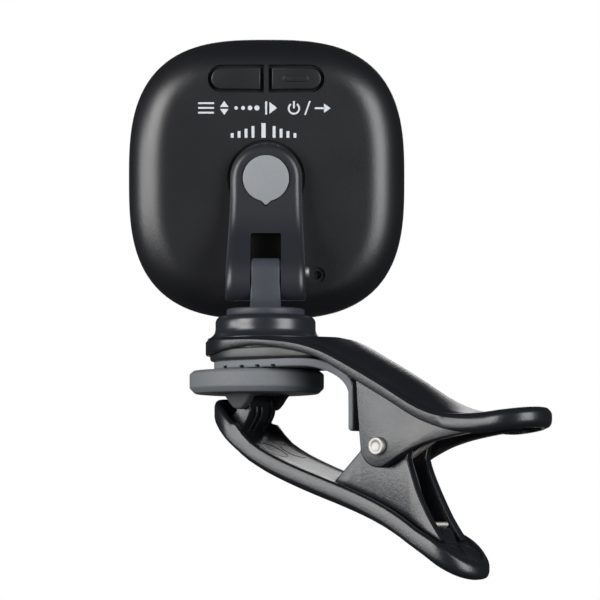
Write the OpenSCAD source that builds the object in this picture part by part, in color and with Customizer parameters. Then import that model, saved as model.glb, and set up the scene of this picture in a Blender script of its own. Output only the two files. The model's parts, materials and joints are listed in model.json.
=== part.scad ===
// Clip-on tuner: square head on a spinning, tilting bracket, swivel neck, spring clip.
// Origin: swivel axis where it meets the gripping face of the upper pad. +Z up,
// head back faces -Y, display faces +Y. All sizes in millimetres.

/* [Head] */
// Width and height of the head
head_width = 42.6; // [40:0.1:43.4]
// Thickness of the head, back face to front rim
head_thickness = 13; // [12.5:0.5:14]
// Distance from the hinge pin axis to the head's back face
back_y = 7; // [7:0.25:8]
// Height of the head's centre above the hinge pin
head_z = 14.1; // [14:0.1:15]
// Rest lean of the head about the hinge pin, degrees
lean = 5.5; // [3:0.5:8]
// Wall thickness of the rear cover
wall = 1.3; // [1.2:0.1:1.4]

/* [Hinge and swivel] */
// Height of the hinge pin above the gripping face
hinge_z = 14.6; // [14.6:0.1:15.6]
// Hinge pin diameter
hinge_pin_diameter = 1.6; // [1.4:0.1:1.8]
// Neck foot disc diameter
foot_diameter = 11.6; // [11:0.1:12]
// Collar ring diameter
collar_diameter = 14.9; // [14.4:0.1:15.2]

/* [Clip] */
// Yaw of the clip under the head, degrees
clip_yaw = 35; // [0:2.5:60]
// Pivot pin diameter
pivot_diameter = 2.6; // [2.4:0.1:2.8]
// Diameter of the lower grip pad
pad_diameter = 20; // [19:0.5:20.5]

/* [Hidden] */
$fn = 64;
head_half = head_width / 2;
front_y = back_y + head_thickness;  // front rim plane
seam_y = front_y - 3.6;             // rear cover meets bezel
board_y = back_y + 5;               // back plane of the board
board_front = board_y + 1;
hinge_pin_radius = hinge_pin_diameter / 2;
collar_radius = collar_diameter / 2;
pivot_radius = pivot_diameter / 2;

// places on the head, x and z from its centre
button_x = 4.6;
button_z = 15.2;
reset_x = 7.75;
reset_z = -14.6;
piezo_x = -10.2;
piezo_z = 5.8;
board_screw = 13.4;                 // both x and z, either side of the centre

button_start = 0.85;                // plan of one button, x from the middle
button_end = 8.35;
button_half = 1.63;                 // half height
window_inset = 3.6;                 // lens seat, in from the head's outline
lcd_x = [-15, 15];
lcd_z = [-10.5, 11];
bracket_radius = 5.4;               // disc that spins against the head
knuckle_half = 2.04;                // half width of the neck at the hinge
knuckle_radius = 2.1;
washer_recess = 4.9;                // radius

// places in the clip's side plane, x and z
pivot = [23.2, -11.7];
axle = [-1.6, -4.7];                // lower pad axle

jaw_black = [0.13, 0.13, 0.14];
soft_black = [0.12, 0.12, 0.13];
pad_grey = [0.55, 0.57, 0.6];
switch_grey = [0.6, 0.6, 0.62];
bright_steel = [0.8, 0.8, 0.82];
screw_steel = [0.75, 0.75, 0.77];
dull_steel = [0.7, 0.7, 0.72];

// ---------------------------------------------------------------- curves
// Catmull-Rom point at fraction t between start and end
function blend(before, start, end, after, t) = 0.5 * (2 * start + (end - before) * t
  + (2 * before - 5 * start + 4 * end - after) * t * t
  + (3 * start - before - 3 * end + after) * t * t * t);
// smooth curve through the points, with a number of steps per span
function curve(points, steps = 4) = let (last = len(points) - 1) [
  for (i = [0:last - 1]) for (k = [0:steps - 1])
    blend(points[max(i - 1, 0)], points[i], points[i + 1], points[min(i + 2, last)], k / steps),
  points[last]];
function unit(v) = v / max(norm(v), 1e-9);
// direction of a path at point i
function tangent(path, i) = unit(path[min(i + 1, len(path) - 1)] - path[max(i - 1, 0)]);
// curve moved sideways, to the left of its direction
function shifted(path, distance) = [for (i = [0:len(path) - 1])
  let (along = tangent(path, i)) path[i] + distance * [-along.y, along.x]];
function reversed(list) = [for (i = [len(list) - 1:-1:0]) list[i]];
function smooth_step(low, high, x) =
  let (t = min(1, max(0, (x - low) / (high - low)))) t * t * (3 - 2 * t);
function arc(centre_x, radius, from, to) = [for (angle = [from:-7.5:to])
  [centre_x + radius * cos(angle), radius * sin(angle)]];
function span(half) = [-half, half];

// ---------------------------------------------------------------- frames and solids
// hinge frame: origin on the hinge pin, leaning with the head
module hinge_frame() { translate([0, 0, hinge_z]) rotate([lean, 0, 0]) children(); }
// head frame: hinge frame raised to the head's centre
module head_frame() { hinge_frame() place(0, head_z) children(); }
// clip frame: handles towards +X, side plane (x, z)
module clip_frame() { rotate([0, 0, -clip_yaw]) children(); }
module place(x, z) { translate([x, 0, z]) children(); }
module mirrored(axis) {
  children();
  mirror(axis) children();
}
// (x, z) drawing extruded from y0 to y1
module extrude_y(y0, y1) {
  translate([0, y1, 0]) rotate([90, 0, 0]) linear_extrude(y1 - y0) children();
}
// (y, z) drawing extruded from x0 to x1
module extrude_x(x0, x1) {
  translate([x0, 0, 0]) rotate([90, 0, 90]) linear_extrude(x1 - x0) children();
}
module rod_x(radius, x0, x1) {
  translate([x0, 0, 0]) rotate([0, 90, 0]) cylinder(r = radius, h = x1 - x0);
}
module rod_y(radius, y0, y1) {
  translate([0, y1, 0]) rotate([90, 0, 0]) cylinder(r = radius, h = y1 - y0);
}
module rod_z(radius, z0, z1) { translate([0, 0, z0]) cylinder(r = radius, h = z1 - z0); }
// box from its [low, high] pair on each axis
module box(x, y, z) {
  translate([x[0], y[0], z[0]]) cube([x[1] - x[0], y[1] - y[0], z[1] - z[0]]);
}
// crossed slots in a screw head that lies along y
module cross_slot(arm, half, y) {
  box(span(arm), y, span(half));
  box(span(half), y, span(arm));
}

// ---------------------------------------------------------------- head shell
// rounded square (superellipse, exponent 3) and how far it reaches at an angle
function rounded_square(half, count = 96) = [for (i = [0:count - 1])
  let (angle = 360 * i / count, x = cos(angle), z = sin(angle))
  [half * sign(x) * pow(abs(x), 2 / 3), half * sign(z) * pow(abs(z), 2 / 3)]];
function reach(half, angle) =
  half * pow(pow(abs(cos(angle)), 1.5) + pow(abs(sin(angle)), 1.5), 2 / 3);
// cross-section with its corners rolled off at edge_y, square at open_y
function rolled_section(half, radius, edge_y, open_y, steps) = let (
  right = concat([[half, open_y]], [for (k = [0:steps]) let (angle = 90 * k / steps)
    [half - radius + radius * cos(angle), edge_y + radius - radius * sin(angle)]]))
  concat(right, [for (point = reversed(right)) [-point.x, point.y]]);
// rounded square block with the rim at edge_y rolled off
module rolled_square(half, radius, edge_y, open_y, steps = 8) {
  way = sign(open_y - edge_y);
  intersection() {
    extrude_y(min(edge_y, open_y) - 1, max(edge_y, open_y) + 1) polygon(rounded_square(half));
    intersection_for(angle = [0:22.5:157.5])
      rotate([0, angle, 0]) translate([0, 0, -40]) linear_extrude(80)
        polygon([for (point = rolled_section(reach(half, angle), radius,
            way * edge_y, way * open_y, steps))
          [point.x, way * point.y]]);
  }
}
module head_outline(inset) { polygon(rounded_square(head_half - inset)); }
module back_block(inset, open_y) {
  rolled_square(head_half - inset, 6 - inset, back_y + inset, open_y);
}
// the +x button, grown by gap
module button_plan(gap = 0, start = button_start) {
  round_x = button_end - button_half;
  translate([start - gap, -button_half - gap])
    square([round_x - start + gap, 2 * (button_half + gap)]);
  translate([round_x, 0]) circle(r = button_half + gap);
}
module at_board_screws() {
  for (x = span(board_screw), z = span(board_screw)) place(x, z) children();
}

module rear_cover() {
  color([0.10, 0.10, 0.11]) head_frame() difference() {
    union() {
      difference() {
        back_block(0, seam_y);
        back_block(wall, seam_y + 1);
      }
      // spin screw boss and the floor of the spin recess
      rod_y(2.6, back_y + 1, back_y + 4.5);
      rod_y(6.8, back_y + 0.55, back_y + wall + 0.6);
      // floor under the button well
      place(0, button_z) extrude_y(back_y + 0.7, back_y + 1.9) {
        translate([-7.2, -2.4]) square([14.4, 4.8]);
        for (x = span(7.2)) translate([x, 0]) circle(r = 2.4);
      }
      // reset tube
      place(reset_x, reset_z) rod_y(1.5, back_y + 0.4, back_y + 2.2);
    }
    // spin recess and screw hole
    rod_y(5.9, back_y - 1, back_y + 0.55);
    rod_y(1.25, back_y, back_y + 6);
    // button well either side of the rib, then the button openings
    place(0, button_z) mirrored([1, 0, 0]) {
      extrude_y(back_y - 1, back_y + 0.75) button_plan(0.4);
      extrude_y(back_y, back_y + 3) button_plan(0.08);
    }
    // reset hole, its shallow outer ring and the wider bore inside
    place(reset_x, reset_z) {
      rod_y(1.2, back_y - 1, back_y + 0.4);
      rod_y(0.64, back_y, back_y + 1.4);
      rod_y(0.9, back_y + 1.3, back_y + 3);
    }
    // charging port cut-out in the -x side wall
    box([-head_half - 1, -head_half + 3.5], [board_y + 0.85, board_y + 3.65], span(4));
  }
}
module front_bezel() {
  color([0.09, 0.09, 0.10]) head_frame() {
    // rim, hollowed behind, with the window and the lens seat
    difference() {
      rolled_square(head_half, 2.1, front_y, seam_y + 0.02, steps = 4);
      extrude_y(seam_y - 1, front_y - 2.4) head_outline(1.35);
      extrude_y(seam_y, front_y + 1) head_outline(4.5);
      extrude_y(front_y - 1.55, front_y + 1) head_outline(window_inset);
    }
    // snap lip inside the rear cover, open at the charging port
    difference() {
      extrude_y(seam_y - 1.3, seam_y + 1.3) head_outline(1.4);
      extrude_y(seam_y - 2, seam_y + 2) head_outline(2.2);
      box([-head_half, -head_half + 4], [seam_y - 2, seam_y + 0.1], span(4.2));
    }
    // board bosses
    at_board_screws() difference() {
      rod_y(1.8, board_front, front_y - 2.35);
      rod_y(0.8, board_y, front_y - 3);
    }
  }
}
module display_lens() {
  color([0.03, 0.03, 0.04]) head_frame()
    extrude_y(front_y - 1.5, front_y - 0.3) head_outline(window_inset + 0.1);
}

// ---------------------------------------------------------------- inside the head
module lcd_panel() {
  color([0.2, 0.25, 0.25]) head_frame() box(lcd_x, [front_y - 4, front_y - 2.5], lcd_z);
}
module backlight() {
  color([0.9, 0.9, 0.88]) head_frame() box(lcd_x, [front_y - 5.3, front_y - 4.05], lcd_z);
}
module lcd_flex() {
  color([0.75, 0.5, 0.15]) head_frame() {
    box(span(6), [board_front + 0.01, front_y - 2.6], [-10.75, -10.6]);
    box(span(6), [board_front + 0.01, board_front + 0.2], [-12.6, -10.74]);
  }
}
module main_pcb() {
  color([0.05, 0.3, 0.15]) head_frame() difference() {
    extrude_y(board_y, board_front) head_outline(3.5);
    at_board_screws() rod_y(0.95, board_y - 1, board_y + 2);
  }
}
// row of small parts on the board's front
module part_row(count, start_x, start_z) {
  for (i = [0:count - 1]) {
    x = start_x + 1.6 * i;
    box([x, x + 0.8], [board_front, board_front + 0.5], [start_z, start_z + 1.4]);
  }
}
module pcb_chips() {
  color([0.08, 0.08, 0.08]) head_frame() {
    box(span(3.5), [board_front, board_front + 0.9], [-2, 5]);
    box([6, 10], [board_front, board_front + 0.8], [3, 6]);
    part_row(5, -11, 7);
    part_row(4, 5, -6);
  }
}
module pcb_screws() {
  color(dull_steel) head_frame() at_board_screws() {
    difference() {
      rod_y(1.4, board_y - 0.9, board_y - 0.02);
      cross_slot(0.9, 0.2, [board_y - 1.5, board_y - 0.45]);
    }
    rod_y(0.78, board_y - 0.03, board_y + 3.2);
  }
}
// square switch on the board's back; body_depth and stem_tip are measured from the board
module switch_body(half, body_depth, stem_radius, stem_tip) {
  box(span(half), [board_y - body_depth, board_y], span(half));
  rod_y(stem_radius, board_y - stem_tip, board_y - body_depth + 0.01);
}
module tact_switches() {
  color(switch_grey) head_frame()
    for (x = span(button_x)) place(x, button_z) switch_body(1.75, 1.5, 0.9, 2.05);
}
module reset_switch() {
  color(switch_grey) head_frame() place(reset_x, reset_z) switch_body(1.5, 1.2, 0.7, 1.6);
}
module reset_plunger() {
  color([0.85, 0.85, 0.82]) head_frame() place(reset_x, reset_z) {
    rod_y(0.84, back_y + 1.4, back_y + 2.3);
    rod_y(1.1, back_y + 2.29, back_y + 3.1);
  }
}
module battery() {
  color(pad_grey) head_frame() {
    box([-12, 6], [back_y + 1.95, back_y + 4.5], [-13.2, -4.2]);
    box([-12, 6], [back_y + 2.5, back_y + 3.6], [-4.21, -3.5]);
  }
}
module battery_pad() {
  color([0.15, 0.15, 0.15]) head_frame() box([-11, 5], [back_y + 4.5, board_y], [-12.6, -4.8]);
}
module usb_port() {
  color([0.78, 0.78, 0.8]) head_frame() {
    difference() {
      box([-head_half + 0.5, -head_half + 5.6], [board_front, board_y + 3.5], span(3.8));
      box([-head_half - 1, -head_half + 5], [board_y + 1.3, board_y + 3.2], span(3.5));
    }
    // tongue
    box([-head_half + 1.4, -head_half + 5.1], [board_y + 2.0, board_y + 2.6], span(2.6));
  }
}
module piezo_disc() {
  color([0.8, 0.65, 0.3]) head_frame()
    place(piezo_x, piezo_z) rod_y(4.6, back_y + 1.34, back_y + 1.54);
}
module piezo_ceramic() {
  color([0.9, 0.9, 0.86]) head_frame()
    place(piezo_x, piezo_z) rod_y(3.2, back_y + 1.54, back_y + 1.76);
}
// the +x button: key, wider flange inside the cover, stem towards its switch
module button_key() {
  extrude_y(back_y + 0.1, back_y + 1.95) button_plan();
  extrude_y(back_y + 1.94, back_y + 2.5) button_plan(0.45, 1.2);
  place(button_x, 0) rod_y(0.8, back_y + 2.49, board_y - 2.4);
}
module mode_button() {
  color(soft_black) head_frame() place(0, button_z) mirror([1, 0, 0]) button_key();
}
module power_button() {
  color(soft_black) head_frame() place(0, button_z) {
    button_key();
    // raised bar on the key
    extrude_y(back_y + 0.02, back_y + 0.11) {
      translate([3, -0.5]) square([3, 1]);
      for (x = [3, 6]) translate([x, 0]) circle(r = 0.5);
    }
  }
}

// ---------------------------------------------------------------- hinge
// bracket from behind: round top, flared sides, a foot each side of the neck slot
module bracket_plan() {
  bottom = -4;
  corner = 0.8;
  foot_in = 3.1;   // centres of the foot's corner circles
  foot_out = 5.25;
  slot_half = 2.3;
  foot_z = bottom + corner;
  difference() {
    union() {
      translate([0, head_z]) circle(r = bracket_radius);
      polygon([[-bracket_radius, head_z], [bracket_radius, head_z], [5.55, 8], [5.85, 2],
        [6.05, foot_z], [-6.05, foot_z], [-5.85, 2], [-5.55, 8]]);
      mirrored([1, 0, 0]) {
        translate([foot_out - corner, bottom]) square([2 * corner, 1]);
        translate([foot_in, bottom]) square([foot_out - foot_in, 1]);
        for (x = [foot_in, foot_out]) translate([x, foot_z]) circle(r = corner);
      }
    }
    translate([-slot_half, -6]) square([2 * slot_half, 11.6]);
  }
}
// disc with a small point at its lower edge
module pointed_disc(radius, point_half, point_z, y0, y1) {
  rod_y(radius, y0, y1);
  extrude_y(y0, y1) polygon([[-point_half, -3.3], [point_half, -3.3], [0, point_z]]);
}
module hinge_bracket() {
  // rear profile, y and z from the hinge pin, top to bottom
  rear = curve([[back_y - 2.3, head_z + 5.6], [back_y - 2.55, head_z + 3.5],
    [back_y - 2.7, head_z], [back_y - 3.1, head_z - 3.5], [back_y - 4.4, 6.6],
    [back_y - 6.6, 3.6], [back_y - 8.6, 1.2], [back_y - 9.4, -1], [back_y - 9.2, -3],
    [back_y - 8.2, -4.2]]);
  // head side of the profile, bottom to top
  front = [[2.6, -4.2], [3.4, -2.5], [back_y - 0.4, 3.5], [back_y - 0.1, 5],
    [back_y - 0.1, head_z + 5.6]];
  color([0.16, 0.16, 0.17]) hinge_frame() difference() {
    union() {
      intersection() {
        extrude_y(-6, back_y - 0.1) bracket_plan();
        extrude_x(-8, 8) polygon(concat(rear, front));
      }
      place(0, head_z) rod_y(bracket_radius, back_y - 0.2, back_y + 0.5);
    }
    rod_x(hinge_pin_radius, -8, 8);
    // cap pocket, screw head pocket and screw hole
    place(0, head_z) {
      pointed_disc(3.55, 0.8, -4.15, back_y - 4, back_y - 2.0);
      rod_y(2.7, back_y - 3, back_y - 0.85);
      rod_y(1.3, back_y - 3, back_y + 1);
    }
  }
}
module bracket_cap() {
  color([0.66, 0.69, 0.71]) head_frame()
    pointed_disc(3.48, 0.72, -4.05, back_y - 3.0, back_y - 2.02);
}
module spin_screw() {
  color(screw_steel) head_frame() difference() {
    union() {
      rod_y(2.1, back_y - 1.9, back_y - 1.1);
      rod_y(1.24, back_y - 1.11, back_y + 4.2);
    }
    cross_slot(1.3, 0.25, [back_y - 3, back_y - 1.5]);
  }
}
module spin_washer() {
  color(dull_steel) head_frame() difference() {
    rod_y(2.5, back_y - 1.08, back_y - 0.87);
    rod_y(1.3, back_y - 2, back_y);
  }
}
module hinge_pin() {
  color(bright_steel) hinge_frame() rod_x(hinge_pin_radius - 0.005, -5.9, 6.45);
}
module friction_washers() {
  color(soft_black) hinge_frame() mirrored([1, 0, 0]) difference() {
    rod_x(1.9, 2.08, 2.27);
    rod_x(hinge_pin_radius + 0.04, -4, 4);
  }
}

// ---------------------------------------------------------------- neck and swivel
module neck_arm() {
  foot_radius = foot_diameter / 2;
  arm_z = 9.2;   // where the arm leaves the foot disc
  color([0.28, 0.29, 0.31]) difference() {
    union() {
      rotate_extrude() polygon([[0, 8.04], [foot_radius, 8.04], [foot_radius, 8.95],
        [foot_radius - 0.3, 9.25], [0, 9.25]]);
      // spigot
      rod_z(3.5, 0, 8.1);
      // knuckle and the arm below it
      place(0, hinge_z) rod_x(knuckle_radius, -knuckle_half, knuckle_half);
      box(span(knuckle_half), span(knuckle_radius), [arm_z, hinge_z]);
      // fillets between arm and foot
      mirrored([0, 1, 0]) translate([-knuckle_half, knuckle_radius, arm_z]) difference() {
        cube([2 * knuckle_half, 1, 1]);
        translate([-1, 1, 1.05]) rotate([0, 90, 0]) cylinder(r = 1, h = 8);
      }
    }
    // trim the spigot's lower end, then hinge and screw holes
    rod_z(9, -1, 3.37);
    place(0, hinge_z) rod_x(hinge_pin_radius + 0.04, -4, 4);
    rod_z(1.12, 3, 8.6);
  }
}
module swivel_screw() {
  color(screw_steel) difference() {
    union() {
      rod_z(2.2, 1.7, 3.05);
      rod_z(1.1, 3, 8.2);
    }
    box(span(1.4), span(0.25), [1, 2.3]);
    box(span(0.25), span(1.4), [1, 2.3]);
  }
}
module swivel_washer() {
  color(dull_steel) difference() {
    rod_z(4.4, 3.06, 3.36);
    rod_z(1.14, 2, 5);
  }
}
module swivel_collar() {
  edge = collar_radius;
  // radius, z
  color(soft_black) rotate_extrude() polygon([[3.56, 4.62], [edge + 0.9, 4.62],
    [edge + 0.45, 4.75], [edge + 0.15, 4.98], [edge, 5.35], [edge, 7.1], [edge - 0.15, 7.55],
    [edge - 0.5, 7.88], [edge - 0.9, 8.0], [3.56, 8.0]]);
}

// ---------------------------------------------------------------- clip plans
// half of a jaw seen from above: nose arc, edge curve, tail arc, all drawn in by inset
function half_plan(inset, nose_x, nose_radius, edge, tail_x, tail_radius) = concat(
  arc(nose_x, nose_radius - inset, 180, 97.5),
  [for (point = curve(edge, 3)) point - [0, inset]],
  arc(tail_x, tail_radius - inset, 82.5, 0));
// half plan closed by its mirror image; the first and last points are not repeated
function closed(half) = concat(half, [for (i = [len(half) - 2:-1:1]) [half[i].x, -half[i].y]]);

// ---------------------------------------------------------------- clip, upper half
// shoulder line of the upper jaw, x and z
upper_line = curve([[-12, 4.6], [-6, 4.6], [0, 4.6], [4, 4.5], [8, 4.15], [11.4, 3.5],
  [14.9, 2.25], [19.7, -0.15], [24.9, -2.95], [30.2, -5.9], [34.5, -7.4], [39, -7.85],
  [43.4, -7.5], [50, -6.6]], 3);
// edge of the upper jaw from above, x and y
upper_edge = [[0, 8.9], [5, 8.35], [10, 7.2], [15, 6.45], [22, 6.1], [32, 6.0], [38, 6.1],
  [42, 6.1]];
// crown layers of the upper jaw: plan inset, rise above the shoulder line
upper_layers = [[0, 0], [1.15, 0.7], [2.3, 1.25], [3.6, 1.65], [4.8, 1.85]];

// share of the full rise at x: low over the pad, full in the middle, less on the handle
function crown(x) = 0.1 + 0.9 * smooth_step(6, 17, x) - 0.75 * smooth_step(29, 40, x);
module upper_band(low, rise) {
  extrude_y(-10, 10) polygon(concat(
    [for (point = upper_line) point + [0, rise * crown(point.x)]],
    reversed([for (point = upper_line) point + [0, low]])));
}
module upper_plan(inset) { polygon(closed(half_plan(inset, 0, 8.9, upper_edge, 42, 6.1))); }
// flat slice of the upper plan, cut off at end_x
module nose_slice(inset, z, height, end_x) {
  intersection() {
    translate([0, 0, z]) linear_extrude(height) upper_plan(inset);
    box([-12, end_x], [-12, 12], [0, 5]);
  }
}
module upper_ear() {
  mirrored([0, 1, 0]) extrude_y(3.3, 5) difference() {
    union() {
      polygon([[19.2, -1.2], [19.6, -6], [20.15, -11.2], pivot, [24.4, -14.35],
        [30, -11.7], [36, -10.3], [41.5, -9.6], [42, -8.4], [38, -8.4], [30, -6.2],
        [24.9, -3.4]]);
      translate(pivot) circle(r = 3.05);
    }
    translate(pivot) circle(r = pivot_radius + 0.01);
  }
}
module upper_jaw() {
  color(jaw_black) clip_frame() difference() {
    union() {
      for (layer = upper_layers) intersection() {
        upper_band(-1.3, layer[1]);
        translate([0, 0, -20]) linear_extrude(40) upper_plan(layer[0]);
      }
      // step above the pad carrier
      nose_slice(0.7, 2.92, 0.7, 13.5);
      upper_ear();
      // bulkhead behind the throat stop
      extrude_y(-3.4, 3.4) polygon([[18.75, -0.6], [18.9, -8], [20, -8], [20.4, -1.2]]);
      // handle underside lip
      intersection() {
        upper_band(-2.0, 0);
        translate([0, 0, -20]) linear_extrude(40) difference() {
          upper_plan(0);
          upper_plan(1.1);
          translate([-20, -10]) square([57, 20]);
        }
      }
    }
    // swivel spigot hole, washer recess, flat for the collar
    rod_z(3.56, -1, 11);
    rod_z(washer_recess, 2, 3.4);
    rod_z(collar_radius + 1.2, 4.61, 7.61);
  }
}
module pad_carrier() {
  color(soft_black) clip_frame() difference() {
    union() {
      nose_slice(0.6, 1.45, 1.45, 12.5);
      nose_slice(1.1, 1.2, 0.26, 11.5);
    }
    rod_z(washer_recess, 0, 4);
    // clear the underside of the jaw
    extrude_y(-10, 10)
      polygon(concat([for (point = upper_line) point - [0, 1.32]], [[50, 12], [-12, 12]]));
  }
}
module upper_pad() {
  // pad faces, x and z: along the nose, then down the throat stop
  top_face = curve([[-12, 1.19], [4, 1.19], [11, 1.15], [13.6, 0.75], [15.8, -0.2],
    [17.4, -1.3], [18.35, -2.6], [18.5, -4], [18.5, -9]], 4);
  grip_face = curve([[-12, 0], [4, 0], [10.6, 0], [13.2, -0.4], [15.2, -1.25],
    [16.7, -2.35], [17.5, -3.6], [17.6, -4.6], [17.6, -9]], 4);
  // edge from above, x and y
  pad_edge = [[0, 7.6], [5, 7.3], [9, 6.7], [13, 5.6], [16, 4.7], [19, 4.5]];
  // drain notches on the -y rim, x and y
  notches = [[-2.0, -7.35], [1.16, -7.55], [3.86, -7.4], [6.46, -7.1]];
  color(pad_grey) clip_frame() intersection() {
    difference() {
      union() {
        extrude_y(-10, 10) polygon(concat(top_face, reversed(grip_face)));
        extrude_y(-10, 10) translate([18.05, -9]) circle(r = 0.45);
      }
      for (spot = notches)
        translate([spot.x - 0.4, spot.y - 1.2, -0.1]) cube([0.8, 1.4, 0.43]);
    }
    translate([0, 0, -12]) linear_extrude(20)
      polygon(closed(concat(arc(0, 7.6, 180, 97.5), curve(pad_edge, 3))));
  }
}

// ---------------------------------------------------------------- clip, lower half
// outer line of the lower jaw, x and z, nose to handle
lower_line = curve([[-8.1, -4.7], [-8.0, -6.0], [-7.3, -7.3], [-6.2, -8.4], [-4.9, -9.5],
  [-3.3, -10.7], [-1.4, -12.0], [0.9, -13.4], [3.6, -14.8], [7.2, -16.3], [11.3, -17.8],
  [15.4, -19.2], [19.2, -20.6], [22.5, -22.0], [25.2, -23.4], [27.6, -24.9], [30, -26.3],
  [32.5, -27.7], [34.5, -28.7], [36, -29.4], [38, -30.2], [39.5, -30.7]], 2);
// edge of the lower jaw from above, x and y
lower_edge = [[-2.4, 5.65], [6, 5.65], [16, 5.6], [26, 5.55], [32, 5.6]];
// layers of the lower jaw: plan inset, then depth outside and inside the outer line
lower_layers = [[0, 0, 2.45], [1.0, 0.4, 2.0], [2.2, 0.75, 2.0], [3.4, 0.95, 2.0]];

module lower_layer(inset, outside, inside) {
  intersection() {
    extrude_y(-10, 10) polygon(concat(
      shifted(lower_line, -outside), reversed(shifted(lower_line, inside))));
    translate([0, 0, -40]) linear_extrude(50)
      polygon(closed(half_plan(inset, -2.4, 5.65, lower_edge, 32, 5.6)));
  }
}
module lower_ear() {
  ear_radius = 4;
  mirrored([0, 1, 0]) extrude_y(1.8, 3.2) difference() {
    union() {
      polygon([[13.8, -17.6], [18.9, -12.4], [21, -9], [26.2, -9.4], [26.8, -13.2],
        [29.4, -19.4], [32.6, -25.4], [27, -23.2], [20, -19.8]]);
      translate(pivot) circle(r = ear_radius);
    }
    translate(pivot) circle(r = pivot_radius + 0.04);
    // keep the top of the ear round
    difference() {
      translate([16, -9.8]) square([14, 4]);
      translate(pivot) circle(r = ear_radius);
    }
  }
}
module lower_jaw() {
  post_radius = 1.05;
  color(jaw_black) clip_frame() difference() {
    union() {
      for (layer = lower_layers) lower_layer(layer[0], layer[1], layer[2]);
      lower_ear();
      // post that carries the pad axle
      extrude_y(-3.2, 3.2) {
        translate(axle) circle(r = post_radius);
        polygon([axle - [post_radius, 0], axle + [post_radius, 0], [1.6, -11.4],
          [-3.6, -8.8]]);
      }
      // seat for the spring leg
      extrude_y(-1.5, 1.5)
        polygon([[28.2, -23.6], [29.4, -23.15], [31.0, -23.15], [32.4, -25.4]]);
    }
    extrude_y(-4, 4) translate(axle) circle(r = 0.6);
  }
}
module pad_axle() {
  color(bright_steel) clip_frame() extrude_y(-4.95, 4.95) translate(axle) circle(r = 0.59);
}
module lower_pad() {
  edge = pad_diameter / 2;
  color(pad_grey) clip_frame() difference() {
    union() {
      place(axle.x, 0) rotate_extrude($fn = 96) polygon([[0, -0.15], [edge - 0.45, -0.15],
        [edge, -0.65], [edge, -2.7], [edge - 0.95, -3.55], [0, -3.55]]);
      // lugs round the axle
      mirrored([0, 1, 0]) extrude_y(3.45, 4.95) {
        translate(axle) circle(r = 1.2);
        polygon([[axle.x - 2.9, -3.5], [axle.x + 2.9, -3.5], [axle.x + 1.05, -5.28],
          [axle.x - 1.05, -5.28]]);
      }
    }
    extrude_y(-6, 6) translate(axle) circle(r = 0.64);
  }
}
module pivot_pin() {
  end = 5.55;
  bevel = 0.2;
  color(bright_steel) clip_frame() place(pivot.x, pivot.y) rotate([90, 0, 0])
    rotate_extrude() polygon([[0, -end], [pivot_radius - bevel, -end],
      [pivot_radius, -end + bevel], [pivot_radius, end - bevel],
      [pivot_radius - bevel, end], [0, end]]);
}

// ---------------------------------------------------------------- spring
coil_radius = 2.15;
coil_half = 1.15;        // half length along the pivot
coil_start = 148.2;      // degrees from +z towards +x
coil_sweep = 998.93;
coil_steps = 66;
coil = [for (i = [0:coil_steps])
  let (t = i / coil_steps, angle = coil_start + coil_sweep * t)
  [pivot.x + coil_radius * sin(angle), coil_half * (1 - 2 * t),
    pivot.y + coil_radius * cos(angle)]];
// upper leg, coil round the pin, lower leg with its end bent sideways
spring_path = concat(
  [[32.6, -1.6, -8.95], [32.6, 0.2, -8.95], [32.3, 0.9, -9.0], [31.4, 1.15, -9.15]],
  coil,
  [[29.75, -1.15, -21.7], [30.1, -0.95, -22.5], [30.15, -0.3, -22.75], [30.15, 1.5, -22.75]]);

// round wire along a path; each ring's start direction carries on from the ring before
module wire(path, radius, sides = 10) {
  count = len(path);
  along = [for (i = [0:count - 1]) tangent(path, i)];
  first = unit(cross(along[0], [0.13, 0.2, 0.97]));
  across = [for (i = 0, dir = first; i < count; i = i + 1,
    dir = i < count ? unit(dir - along[i] * (dir * along[i])) : dir) dir];
  rings = [for (i = [0:count - 1]) for (k = [0:sides - 1])
    let (other = cross(along[i], across[i]), angle = 360 * k / sides)
    path[i] + radius * (across[i] * cos(angle) + other * sin(angle))];
  polyhedron(concat(rings, [path[0], path[count - 1]]), concat(
    [for (i = [0:count - 2]) for (k = [0:sides - 1])
      [i * sides + k, i * sides + (k + 1) % sides, (i + 1) * sides + (k + 1) % sides]],
    [for (i = [0:count - 2]) for (k = [0:sides - 1])
      [i * sides + k, (i + 1) * sides + (k + 1) % sides, (i + 1) * sides + k]],
    [for (k = [0:sides - 1]) [count * sides, (k + 1) % sides, k]],
    [for (k = [0:sides - 1])
      [count * sides + 1, (count - 1) * sides + k, (count - 1) * sides + (k + 1) % sides]]));
}
module torsion_spring() { color(bright_steel) clip_frame() wire(spring_path, 0.38); }

front_bezel();
display_lens();
lcd_panel();
backlight();
lcd_flex();
main_pcb();
pcb_chips();
pcb_screws();
tact_switches();
reset_switch();
battery();
battery_pad();
usb_port();
piezo_disc();
piezo_ceramic();
rear_cover();
mode_button();
power_button();
reset_plunger();
hinge_bracket();
bracket_cap();
spin_screw();
spin_washer();
hinge_pin();
friction_washers();
neck_arm();
swivel_screw();
swivel_washer();
swivel_collar();
upper_jaw();
pad_carrier();
upper_pad();
lower_jaw();
pivot_pin();
torsion_spring();
pad_axle();
lower_pad();
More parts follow.
